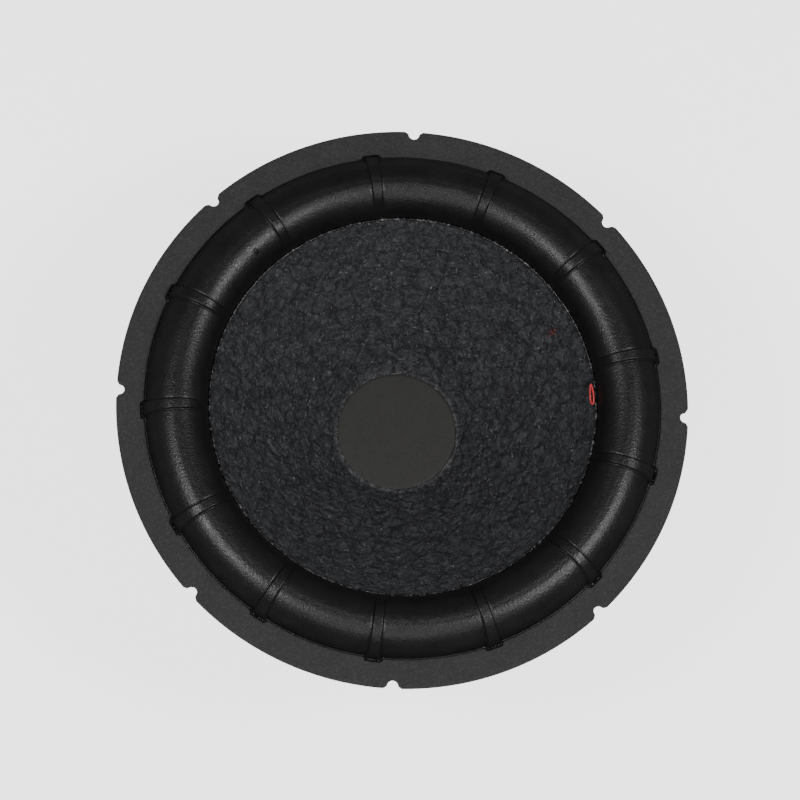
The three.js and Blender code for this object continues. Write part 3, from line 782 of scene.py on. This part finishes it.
def cone_shell():
    across, around_count = 150, 900
    azimuths = np.arange(around_count) * TAU / around_count
    radii = np.linspace(CONE_EDGE, NECK_RADIUS + 0.7, across)
    upright = CONE_WALL * math.hypot(1, CONE_SLOPE)
    tilt = math.atan(CONE_SLOPE)
    back_radii = np.linspace(FORMER_RADIUS + 1.3, CONE_EDGE, 40)
    sections = []
    for azimuth in azimuths:
        cos_a, sin_a = math.cos(azimuth), math.sin(azimuth)
        ragged = 0.35 * ring_noise(azimuth, 22, 4) + 0.25 * ring_noise(azimuth, 70, 9)
        front = []
        for radius in radii:
            height = float(cone_face(radius))
            relief = wrinkles(Vector((radius * cos_a, radius * sin_a, height)))
            stitched = 1 - math.exp(-((radius - SEAM_RADIUS) / 1.1) ** 2)
            near_edge = min(1, (CONE_EDGE - radius) / 2)
            near_neck = min(1, 0.3 + (radius - NECK_RADIUS) / 6)
            calm = near_neck * (0.25 + 0.75 * near_edge) * (0.3 + 0.7 * stitched)
            depth = 0.72 * relief * calm - 0.28 * (1 - stitched)
            front.append((radius - depth * math.sin(tilt), height + depth * math.cos(tilt)))
        lip = CAP_RADIUS - 0.55 - 1.1 * ragged
        neck = [(CAP_RADIUS + 0.25, CAP_TOP + 0.75 + 0.5 * ragged)]
        neck += [(lip + 0.35, CAP_TOP + 0.72 + 0.4 * ragged), (lip, CAP_TOP + 0.4)]
        neck += [(lip + 0.4, CAP_TOP + 0.12), (CAP_RADIUS + 0.12, CAP_TOP + 0.1)]
        neck += [(CAP_RADIUS + 0.12, NECK_HEIGHT + 0.02), (FORMER_RADIUS + 0.25, NECK_HEIGHT + 0.02)]
        collar = [(FORMER_RADIUS + 0.2, COLLAR_BOTTOM), (FORMER_RADIUS + 1.3, COLLAR_BOTTOM)]
        back = [(radius, float(cone_face(radius)) - upright) for radius in back_radii]
        sections.append(front + neck + collar + back)
    return around(azimuths, sections, "cone_shell")


def cap_disc():
    outline = [(0, CAP_BOTTOM), (CAP_RADIUS - 0.3, CAP_BOTTOM), (CAP_RADIUS, CAP_BOTTOM + 0.3)]
    rim = [(0, 0.35), (0.12, 0.12), (0.4, 0)]
    outline += [(CAP_RADIUS - inward, CAP_TOP - down) for inward, down in rim]
    outline += [(r, CAP_TOP + 0.15 * (1 - (r / CAP_RADIUS) ** 2)) for r in np.linspace(CAP_RADIUS - 2, 0, 12)]
    return turned("cap_disc", outline, closed=False)


def glue_bead():
    count = 900
    azimuths = np.arange(count) * TAU / count
    sections = []
    for azimuth in azimuths:
        swell = 0.5 + 0.5 * ring_noise(azimuth, 26, 1)
        size = 0.55 + 0.45 * swell + 0.2 * ring_noise(azimuth, 90, 2)
        centre = (CONE_EDGE - 0.1, CONE_TOP + 0.15)
        section = []
        for step in range(12):
            angle = TAU * step / 12
            section.append((centre[0] + size * 0.75 * math.cos(angle), centre[1] + size * math.sin(angle)))
        sections.append(section)
    return around(azimuths, sections, "glue_bead")


def tube_mesh(name, points, radius, sides=8, closed=False):
    """A tube with closed ends through the points; radius may be one value or one for each point."""
    points = [Vector(p) for p in points]
    radii = radius if hasattr(radius, "__len__") else [radius] * len(points)
    verts, faces = [], []
    last_side = None
    for index, point in enumerate(points):
        if closed:
            ahead = points[(index + 1) % len(points)] - points[index - 1]
        else:
            ahead = points[min(index + 1, len(points) - 1)] - points[max(index - 1, 0)]
        ahead.normalize()
        if last_side is None:
            helper = Vector((0, 0, 1)) if abs(ahead.z) < 0.9 else Vector((1, 0, 0))
            last_side = ahead.cross(helper).normalized()
        side = (last_side - ahead * last_side.dot(ahead)).normalized()
        last_side = side
        other = ahead.cross(side)
        for step in range(sides):
            angle = TAU * step / sides
            verts.append(point + (side * math.cos(angle) + other * math.sin(angle)) * radii[index])
    rings = len(points)
    for ring in range(rings if closed else rings - 1):
        nxt = (ring + 1) % rings
        for step in range(sides):
            nxt_step = (step + 1) % sides
            here, there = ring * sides, nxt * sides
            faces.append((here + step, here + nxt_step, there + nxt_step, there + step))
    if not closed:
        faces.append(tuple(range(sides))[::-1])
        faces.append(tuple((rings - 1) * sides + step for step in range(sides)))
    return mesh_object(name, [tuple(v) for v in verts], faces)


def joined(name, pieces):
    for piece in pieces:
        piece.select_set(False)
    bpy.context.view_layer.objects.active = pieces[0]
    chosen = {"active_object": pieces[0], "selected_editable_objects": pieces, "selected_objects": pieces}
    with bpy.context.temp_override(**chosen):
        bpy.ops.object.join()
    pieces[0].name = name
    pieces[0].data.name = name
    return pieces[0]


def stitch_line(name, radius, height, length, gap, thick, sag):
    count = int(TAU * radius / (length + gap))
    rng = random.Random(7)
    stitches = []
    for index in range(count):
        middle = TAU * index / count + rng.uniform(-0.1, 0.1) * gap / radius
        half = length / 2 / radius
        slant = rng.uniform(-0.2, 0.2)
        points = []
        for step in range(6):
            t = step / 5 * 2 - 1
            azimuth = middle + half * t
            place_r = radius + slant * t
            lift = height + sag * (1 - t * t)
            climb = lift + (place_r - radius) * CONE_SLOPE
            points.append((place_r * math.cos(azimuth), place_r * math.sin(azimuth), climb))
        sizes = [thick * (0.55 if step in (0, 5) else 1.0) for step in range(6)]
        stitches.append(tube_mesh(f"{name}_{index}", points, sizes, 6))
    return joined(name, stitches)


def thread_loop():
    """The loose end of the bobbin thread: a narrow standing loop that lies along the cone's edge."""
    bottom = low("thread_tail")[2]
    middle_x, middle_y, _ = centre_of("thread_tail")
    azimuth, radius = math.atan2(middle_y, middle_x), math.hypot(middle_y, middle_x)
    points = []
    for step in range(48):
        angle = TAU * step / 48
        along = 5.6 * math.sin(angle)
        across = (0.85 - 0.25 * math.sin(angle)) * math.cos(angle)
        up = bottom + 0.5 + 0.27 * math.cos(angle * 2) ** 2 + 0.5 * math.cos(angle)
        points.append((across, along, up))
    turn = Matrix.Rotation(azimuth, 3, "Z")
    points = [turn @ Vector((radius + across, along, 0)) + Vector((0, 0, up)) for across, along, up in points]
    return tube_mesh("thread_loop", points, 0.46, 8, closed=True)


def stray_fibres():
    """A few loose red fibres that lie on the cone near its seam."""
    rng = random.Random(11)
    made = []
    for index in range(14):
        x, y = (spot + rng.uniform(-1.6, 1.6) for spot in FIBRE_SPOT)
        heading, length = rng.uniform(0, math.pi), rng.uniform(0.8, 2.2)
        points = []
        for t in np.linspace(-0.5, 0.5, 5):
            px, py = x + length * t * math.cos(heading), y + length * t * math.sin(heading) + 0.3 * t * t
            points.append((px, py, float(cone_face(math.hypot(px, py))) + 0.35))
        made.append(tube_mesh(f"fibre_{index}", points, 0.22, 6))
    return joined("stray_fibres", made)


def build_front():
    rubber = moulded_rubber()
    place(gasket_ring(), pressed_board(), "chassis", "gasket_board", "front_gasket")
    roll = roll_surface()
    strung(roll, rubber, "surround")
    place(cone_shell(), wrinkled_pulp(), "moving_cone", "paper_pulp", "cone")
    place(cap_disc(), smooth_board(), "moving_cone", "cap_board", "dust_cap")
    place(glue_bead(), glossy_glue(), "moving_cone", "adhesive", "edge_bead")
    seam_top = float(cone_face(SEAM_RADIUS))
    needle = stitch_line("seam_stitches", SEAM_RADIUS, seam_top + 0.05, 2.5, 1.1, 0.34, 0.12)
    black = thread("needle_thread", grey(0.004), grey(0.02))
    place(needle, black, "moving_cone", "thread_black", "seam_needle_thread")
    back_drop = (CONE_WALL + RUBBER) * math.hypot(1, CONE_SLOPE) + 0.3
    bobbin = stitch_line("bobbin_stitches", SEAM_RADIUS, seam_top - back_drop, 2.5, 1.1, 0.34, -0.12)
    red = thread("bobbin_thread", (0.42, 0.006, 0.01), (0.9, 0.06, 0.07), 0.5)
    place(bobbin, red, "moving_cone", "thread_red", "seam_bobbin_thread")
    place(thread_loop(), red, "moving_cone", "thread_red", "thread_tail")
    dull_red = thread("dull_red_fibre", (0.07, 0.005, 0.006), (0.17, 0.012, 0.014))
    place(stray_fibres(), dull_red, "moving_cone", "thread_red")


# ---- Motor ----

def ring_span(node):
    """A ring's outer radius, bottom and top."""
    return high(node)[0], low(node)[2], high(node)[2]


def magnet_boot():
    outer, _, top = high("magnet_boot")
    inner, hole, floor_top = outer - 3, 20.0, 2.5
    outline = [(hole, 0), (outer - 2.4, 0), (outer - 0.7, 0.7), (outer, 2.4), (outer, top - 7)]
    outline += [(outer - 0.8, top - 6.4), (outer - 0.8, top - 5.2), (outer, top - 4.6), (outer, top - 1)]
    outline += [(outer - 1, top), (inner + 0.4, top), (inner, top - 0.4)]
    outline += [(inner, floor_top), (hole, floor_top)]
    return turned("boot_shell", rounded(outline, 0.5))


def pole_yoke():
    outer, bottom, top = ring_span("pole_yoke")
    plate_top = low("magnet_rear")[2] - 0.1
    pole = FORMER_RADIUS - 1.05
    outline = [(VENT + 4, bottom), (outer - 2, bottom), (outer, bottom + 2), (outer, plate_top)]
    outline += [(pole + 2, plate_top), (pole, plate_top + 2), (pole, top - 1), (pole - 1, top)]
    outline += [(VENT + 1, top), (VENT, top - 1), (VENT, bottom + 4)]
    return turned("pole_yoke_turned", rounded(outline, 0.5))


def magnet_ring(node):
    outer, bottom, top = ring_span(node)
    inner = PLATE_BORE + 3.5
    outline = [(inner, bottom), (outer, bottom), (outer, top), (inner, top)]
    return turned(node + "_ring", rounded(outline, 0.9))


def top_plate():
    outer, bottom, top = ring_span("top_plate")
    outline = rounded([(PLATE_BORE, bottom), (outer, bottom), (outer, top), (PLATE_BORE, top)], 0.8)
    plate = turned("top_plate_turned", outline, 144)
    return shaped(plate, [("DIFFERENCE", screw_drills(bottom - 1, top + 1))])


def placed_disc(x, y, radius, bottom, top, sides=28):
    outline = [(x + radius * math.cos(a), y + radius * math.sin(a)) for a in even_azimuths(sides)]
    return extruded("disc", outline, bottom, top)


def screw_drills(bottom, top):
    drill = placed_disc(SCREW_CIRCLE, 0, SCREW_HOLE, bottom, top)
    return copies(drill, even_azimuths(SCREW_COUNT, math.pi / SCREW_COUNT))


def cross_bar(radius, along, *middle):
    """A cylinder along X, centred on the point given."""
    bar = placed_disc(0, 0, radius, -along / 2, along / 2, 24)
    return moved(turned_mesh(bar, Matrix.Rotation(math.pi / 2, 4, "Y")), *middle)


def voice_coil_tube():
    outer, bottom, top = ring_span("voice_coil_former")
    inner = outer - 0.3
    return turned("former_tube", [(inner, bottom), (outer, bottom), (outer, top), (inner, top)], 144)


def wound_layer(node):
    """One layer of round wire: its outer face is a row of turns."""
    outer, bottom, top = ring_span(node)
    inner, bulge = outer - WIRE_LAYER, WIRE_LAYER * 0.3
    turns = int((top - bottom) / WIRE_LAYER)
    pitch = (top - bottom) / turns
    outline = [(inner, bottom)]
    for index in range(turns):
        for step in range(5):
            angle = math.pi * (step / 4 - 0.5)
            height = bottom + pitch * (index + 0.5 + 0.48 * math.sin(angle))
            outline.append((outer - bulge + bulge * math.cos(angle), height))
    outline.append((inner, top))
    return turned(node + "_turns", outline, 96)


# ---- Basket and its screws ----

def window_outline():
    half = math.pi / SPOKE_COUNT
    inner, outer = TOWER + 4.5, SHOULDER - 11
    corner = 6.0

    def at(radius, azimuth):
        return np.array((radius * math.cos(azimuth), radius * math.sin(azimuth)))

    def flank(radius):
        return half - math.asin(SPOKE_WIDTH / 2 / radius)

    low_in, low_out = at(inner, -flank(inner)), at(outer, -flank(outer))
    along = (low_out - low_in) / np.linalg.norm(low_out - low_in) * corner
    mirror = np.array((1, -1))
    short_inner, short_outer = flank(inner) - corner / inner, flank(outer) - corner / outer
    points = bend(at(inner, -short_inner), low_in, low_in + along)
    points += bend(low_out - along, low_out, at(outer, -short_outer))
    points += [at(outer, short_outer * t) for t in np.linspace(-0.9, 0.9, 15)]
    points += bend(at(outer, short_outer), low_out * mirror, (low_out - along) * mirror)
    points += bend((low_in + along) * mirror, low_in * mirror, at(inner, short_inner))
    points += [at(inner, short_inner * t) for t in np.linspace(0.9, -0.9, 11)]
    return [tuple(p) for p in points]


def rim_slot_cutter(grow, bottom, top):
    centre = RIM - SLOT_DEPTH + SLOT_END
    end = SLOT_END + grow
    outline = [(RIM + 3, -SLOT_MOUTH / 2 - grow - 1), (RIM + 3, SLOT_MOUTH / 2 + grow + 1)]
    sweep = np.linspace(math.pi / 2, 1.5 * math.pi, 17)
    outline += [(centre + end * math.cos(a), end * math.sin(a)) for a in sweep]
    return copies(extruded("slot", outline, bottom, top), even_azimuths(SLOT_COUNT))


def spoke_webs(shell_start, shell_end):
    outline = [
        (TOWER - 1, LANDING_TOP - 9.5), (shell_start[0] + 1.9, shell_start[1] - 5),
        (shell_end[0] + 1.9, shell_end[1] - 3.5), (shell_end[0] + 1, shell_end[1] + 1.9),
        (shell_start[0], shell_start[1] + 1.9), (TOWER - 1, LANDING_TOP - 1.9),
    ]
    web = turned_mesh(extruded("web", outline, -2, 2), Matrix.Rotation(math.pi / 2, 4, "X"))
    return copies(web, even_azimuths(SPOKE_COUNT, math.pi / SPOKE_COUNT))


def basket_casting():
    bottom = low("basket")[2]
    floor_top = bottom + FLOOR_THICKNESS
    rim_edge, rim_low = high("basket")[0], RIM_TOP - 3.8
    shell_start, shell_end = (TOWER + 4.5, LANDING_TOP - 0.5), (SHOULDER - 3.3, rim_low - 6)
    run = math.dist(shell_start, shell_end) / 3.8
    across = ((shell_start[1] - shell_end[1]) / run, (shell_end[0] - shell_start[0]) / run)
    outline = [
        (FLOOR_HOLE, bottom), (TOWER - 2, bottom), (TOWER, bottom + 2), (TOWER, LANDING_TOP - 3.5),
        shell_start, shell_end, (SHOULDER, shell_end[1] + 3.3), (SHOULDER, rim_low),
        (rim_edge, rim_low), (rim_edge, RIM_TOP), (ROLL_OUTER - RUBBER, RIM_TOP),
        (shell_end[0] + across[0], shell_end[1] + across[1]), (TOWER + 2.5, LANDING_TOP + 3),
        (TOWER - 2, LANDING_TOP + 3), (TOWER - 2, LANDING_TOP), (TOWER - LANDING_WIDTH, LANDING_TOP),
        (TOWER - LANDING_WIDTH, LANDING_TOP - 3.5), (TOWER - 3.5, LANDING_TOP - 4.5),
        (TOWER - 3.5, floor_top + 1.5), (TOWER - 5, floor_top), (FLOOR_HOLE, floor_top),
    ]
    casting = turned("basket_casting", rounded(outline, 1.1), 192)
    window = extruded("window", window_outline(), LANDING_TOP - 4, rim_low)
    windows = copies(window, even_azimuths(SPOKE_COUNT))
    webs = spoke_webs(shell_start, shell_end)
    lo, hi = low("terminal_body_coil1"), high("terminal_body_coil1")
    pad = cuboid("pad", (TOWER - 6, lo[1] - 1, lo[2] - 1), (lo[0] - 0.1, hi[1] + 1, hi[2] + 1))
    pads = copies(pad, even_azimuths(2))
    core = placed_disc(0, 0, TOWER - 3.5, floor_top, LANDING_TOP - 4.5, 96)
    drills = screw_drills(bottom - 1, floor_top + 1)
    middle = centre_of("terminal_body_coil1")[2]
    bars = [cross_bar(RIVET_HOLE, 30, TOWER + 1.5, side * RIVET_ACROSS, middle) for side in (-1, 1)]
    rivet_holes = copies(joined("rivet_holes", bars), even_azimuths(2))
    slots = rim_slot_cutter(SLOT_CLEARANCE, rim_low - 1, RIM_TOP + 1)
    steps = [("DIFFERENCE", windows), ("UNION", webs), ("UNION", pads), ("DIFFERENCE", core)]
    steps += [("DIFFERENCE", drills), ("DIFFERENCE", rivet_holes), ("DIFFERENCE", slots)]
    return shaped(casting, steps)


def pan_screw(index):
    _, bottom, top = ring_span(f"basket_screw_{index + 1}")
    seat = top - 2.6
    outline = [(0, bottom), (1.3, bottom), (2.1, bottom + 1)]
    for turn in range(7):
        height = bottom + 1.2 + turn * (seat - bottom - 1.6) / 7
        outline += [(1.95, height), (2.4, height + 0.4)]
    outline += [(2.1, seat - 0.1), (2.1, seat), (4.0, seat), (4.3, seat + 0.3), (4.3, seat + 0.9)]
    outline += [(4.3 * math.cos(a), seat + 0.9 + 1.7 * math.sin(a)) for a in np.linspace(0.2, math.pi / 2, 9)]
    outline[-1] = (0, top)
    screw = turned(f"pan_screw_{index + 1}", outline, 40, closed=False)
    bars = [post("bar", (0, 0), half, top - 1.5, top + 1) for half in ((2.3, 0.45), (0.45, 2.3))]
    shaped(screw, [("DIFFERENCE", bar) for bar in bars])
    turned_mesh(screw, Matrix.Rotation(0.6 + 1.1 * index, 4, "Z"))
    azimuth = even_azimuths(SCREW_COUNT, math.pi / SCREW_COUNT)[index]
    return moved(screw, SCREW_CIRCLE * math.cos(azimuth), SCREW_CIRCLE * math.sin(azimuth), 0)


# ---- Suspension and coil joint ----

def spider_disc():
    middle, outer = centre_of("spider")[2], high("spider")[0]
    hub = FORMER_RADIUS + 0.15
    wave_inner, wave_outer = hub + 4, TOWER - LANDING_WIDTH - 0.3
    radii = list(np.linspace(hub, wave_inner, 4)) + list(np.linspace(wave_inner, wave_outer, 73)[1:])
    radii = np.array(radii + list(np.linspace(wave_outer, outer, 6)[1:]))
    phase = np.clip((radii - wave_inner) / (wave_outer - wave_inner), 0, 1) * math.pi * 4
    height = middle + 2.1 * np.sin(phase)
    half = 0.38 * np.sqrt(1 + np.gradient(height, radii) ** 2)
    outline = list(zip(radii, height - half)) + list(zip(radii, height + half))[::-1]
    return turned("spider_disc", outline)


def neck_glue():
    top, inner = COLLAR_BOTTOM - 0.1, FORMER_RADIUS + 0.15
    fillet = [(0, -1.4), (0.5, -1.1), (1.2, -0.55), (1.9, 0), (0, 0)]
    return turned("neck_glue", [(inner + out, top + up) for out, up in fillet], 144)


# ---- Push terminals ----

def facing(piece, coil):
    return piece if coil == 1 else turned_mesh(piece, Matrix.Rotation(math.pi, 4, "Z"))


def terminal_housing(coil):
    lo, hi = low("terminal_body_coil1"), high("terminal_body_coil1")
    middle, over = (lo[2] + hi[2]) / 2, hi[2] + 1
    well = centre_of("push_button_coil1_plus")[0]
    reach = high("push_button_coil1_plus")[0] - well + 0.3
    tab = centre_of("solder_tab_coil1_plus")[0]
    core = cuboid(f"terminal_housing_{coil}", (lo[0], -HOUSING_HALF, lo[2]), (hi[0], HOUSING_HALF, hi[2]))
    steps = [("UNION", cuboid("ears", (lo[0], lo[1], lo[2]), (lo[0] + 2.6, hi[1], hi[2])))]
    for side in (-BUTTON_ACROSS, BUTTON_ACROSS):
        mark, face = hi[2] - 2.6, (hi[0] - 0.1, side)
        steps += [
            ("DIFFERENCE", post("pocket", (well, side), (reach, reach), lo[2] + 2.4, over)),
            ("DIFFERENCE", post("slit", (tab, side), (0.8, 2.3), middle - 1, over)),
            ("DIFFERENCE", cross_bar(WIRE_HOLE, 7.2, hi[0], side, middle)),
            ("DIFFERENCE", cross_bar(2.7, 1.2, hi[0], side, middle)),
            ("UNION", post("dash", face, (0.4, 1.3), mark - 0.3, mark + 0.3)),
        ]
        if side > 0:
            steps.append(("UNION", post("stroke", face, (0.4, 0.3), mark - 1.3, mark + 1.3)))
    for side in (-RIVET_ACROSS, RIVET_ACROSS):
        steps.append(("DIFFERENCE", cross_bar(RIVET_HOLE, 30, lo[0], side, middle)))
    return facing(shaped(core, steps, bevel=0.35), coil)


def push_button(coil, side, name):
    bottom, top = low("push_button_coil1_plus")[2], high("push_button_coil1_plus")[2]
    centre = centre_of("push_button_coil1_plus")[0]
    half = high("push_button_coil1_plus")[0] - centre
    across = BUTTON_ACROSS * side
    stem = post(name, (centre, across), (half, half), bottom, top)
    wire_height = centre_of("terminal_body_coil1")[2] + 2.8
    steps = [("DIFFERENCE", cross_bar(WIRE_HOLE, 14, centre, across, wire_height))]
    for offset in (-2, 0, 2):
        groove = post("groove", (centre + offset, across), (0.35, half + 1), top - 0.4, top + 1)
        steps.append(("DIFFERENCE", groove))
    return facing(shaped(stem, steps, bevel=0.3), coil)


def button_spring(coil, side, name):
    bottom, top = low("button_spring_coil1_plus")[2], high("button_spring_coil1_plus")[2]
    centre = centre_of("button_spring_coil1_plus")[0]
    wire, mean, turns = 0.28, 1.75, 3.5
    points = []
    for t in np.arange(97) / 96:
        angle = TAU * turns * t
        height = bottom + wire + (top - bottom - 2 * wire) * (smoothstep(t, 0.0, 1.0) + t) / 2
        across = BUTTON_ACROSS * side + mean * math.sin(angle)
        points.append((centre + mean * math.cos(angle), across, height))
    return facing(tube_mesh(name, points, wire, 8), coil)


def solder_tab(coil, side, name):
    lo, hi = low("solder_tab_coil1_plus"), high("solder_tab_coil1_plus")
    across = BUTTON_ACROSS * side
    plate = cuboid(name, (lo[0], across - 2, lo[2]), (hi[0], across + 2, hi[2]))
    hole = cross_bar(0.8, 6, lo[0], across, hi[2] - 3.6)
    shaped(plate, [("DIFFERENCE", hole)], bevel=0.2)
    outline = [(0, -1.2), (0.9, -1.0), (1.25, -0.4), (1.2, 0.1), (0.7, 0.45), (0, 0.5)]
    blob = turned("solder", outline, 20, closed=False)
    moved(blob, (lo[0] + hi[0]) / 2, across, hi[2])
    return facing(joined(name, [plate, blob]), coil)


def curve_through(points, steps):
    """Points along a Catmull-Rom curve."""
    points = [np.array(p, float) for p in points]
    padded = [2 * points[0] - points[1]] + points + [2 * points[-1] - points[-2]]
    result = []
    for index in range(1, len(padded) - 2):
        p0, p1, p2, p3 = padded[index - 1:index + 3]
        for step in range(steps):
            t = step / steps
            square, cube = 2 * p0 - 5 * p1 + 4 * p2 - p3, 3 * p1 - p0 - 3 * p2 + p3
            result.append(0.5 * (2 * p1 + (p2 - p0) * t + square * t ** 2 + cube * t ** 3))
    result.append(points[-1])
    return result


def tinsel_lead(coil, side, name):
    tab = centre_of("solder_tab_coil1_plus")[0]
    start = high("solder_tab_coil1_plus")[2] + 0.3
    across, spread = BUTTON_ACROSS * side, 5 * side
    end, end_height = FORMER_RADIUS + 1.3, COLLAR_BOTTOM - 3.2
    points = [
        (tab, across, start), (tab - 2, across, start + 3.5), (tab - 10, across, start + 5.5),
        (62, across, start + 5), (48, across * 0.9, end_height + 4.2),
        (end + 5, spread, end_height + 1), (end, spread, end_height),
    ]
    return facing(tube_mesh(name, curve_through(points, 14), 0.95, 12), coil)


def rivet(coil, side, name):
    back, head = low("terminal_rivet_coil1_1")[0], high("terminal_rivet_coil1_1")[0]
    seat = head - 1.2
    outline = [(0, back), (1.3, back), (1.5, back + 0.2), (1.5, seat), (2.7, seat), (2.7, seat + 0.25)]
    dome = np.linspace(0.25, math.pi / 2, 8)[:-1]
    outline += [(2.7 * math.cos(a), seat + 0.25 + 0.95 * math.sin(a)) for a in dome] + [(0, head)]
    pin = turned(name, outline, 32, closed=False)
    turned_mesh(pin, Matrix.Rotation(math.pi / 2, 4, "Y"))
    return facing(moved(pin, 0, RIVET_ACROSS * side, centre_of("terminal_body_coil1")[2]), coil)


def build_motor():
    steel = metal("zinc_steel", (0.42, 0.43, 0.45), (0.56, 0.57, 0.59), (0.26, 0.42))
    screw_steel = metal("screw_zinc", (0.5, 0.5, 0.5), (0.66, 0.66, 0.66), (0.22, 0.36))
    ferrite = sintered_ferrite()
    place(magnet_boot(), boot_rubber(), "chassis", "boot_rubber", "magnet_boot")
    place(pole_yoke(), steel, "chassis", "plated_steel", "pole_yoke")
    for node in ("magnet_rear", "magnet_front"):
        place(magnet_ring(node), ferrite, "chassis", "ferrite", node)
    place(top_plate(), steel, "chassis", "plated_steel", "top_plate")
    place(basket_casting(), powder_coat(), "chassis", "basket_paint", "basket")
    for index in range(SCREW_COUNT):
        place(pan_screw(index), screw_steel, "chassis", "plated_steel", f"basket_screw_{index + 1}")
    aluminium = metal("coil_aluminium", (0.55, 0.56, 0.57), (0.7, 0.71, 0.72), (0.3, 0.45), 300, (1, 1, 12))
    copper = metal("enamelled_copper", (0.45, 0.16, 0.06), (0.62, 0.25, 0.11), (0.24, 0.36))
    place(voice_coil_tube(), aluminium, "moving_cone", "coil_former", "voice_coil_former")
    for layer in ("inner", "outer"):
        node = f"coil_winding_{layer}"
        place(wound_layer(node), copper, "moving_cone", "copper_wire", node)
    glue = bpy.data.materials["glossy_glue"]
    place(neck_glue(), glue, "moving_cone", "adhesive", "neck_adhesive")
    cloth = spider_disc()
    strung(cloth, woven_cloth(), "spider")


def build_terminals():
    shell = moulded_plastic("terminal_plastic", grey(0.010), grey(0.016))
    looks = {
        "plus": moulded_plastic("button_red", (0.34, 0.006, 0.006), (0.42, 0.01, 0.01), (0.22, 0.36)),
        "minus": moulded_plastic("button_black", grey(0.012), grey(0.02), (0.22, 0.36)),
    }
    spring_steel = metal("spring_steel", (0.5, 0.5, 0.5), (0.66, 0.66, 0.66), (0.2, 0.34))
    tinned = metal("tinned_brass", (0.6, 0.5, 0.3), (0.72, 0.64, 0.44), (0.24, 0.4))
    rivet_metal = metal("rivet_metal", (0.55, 0.56, 0.57), (0.72, 0.72, 0.73), (0.26, 0.4))
    braid = lead_braid()
    for coil in (1, 2):
        place(terminal_housing(coil), shell, "chassis", "terminal_plastic", f"terminal_body_coil{coil}")
        for polarity, side in (("plus", 1), ("minus", -1)):
            tag = f"coil{coil}_{polarity}"
            button = push_button(coil, side, f"button_{tag}")
            slot = "button_red" if polarity == "plus" else "button_black"
            place(button, looks[polarity], f"button_{tag}", slot, f"push_button_{tag}")
            spring = button_spring(coil, side, f"spring_{tag}")
            assign(spring, spring_steel)
            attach(spring, "chassis")
            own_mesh(spring)
            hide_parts(f"button_spring_{tag}")
            tab = solder_tab(coil, side, f"tab_{tag}")
            place(tab, tinned, "chassis", "tinned_brass", f"solder_tab_{tag}")
            lead = tinsel_lead(coil, side, f"lead_{tag}")
            strung(lead, braid, f"tinsel_lead_{tag}")
        for spot, side in ((1, -1), (2, 1)):
            name = f"terminal_rivet_coil{coil}_{spot}"
            place(rivet(coil, side, f"rivet_{coil}_{spot}"), rivet_metal, "chassis", "rivet_metal", name)


look_through_camera()
studio()
build_front()
build_motor()
build_terminals()
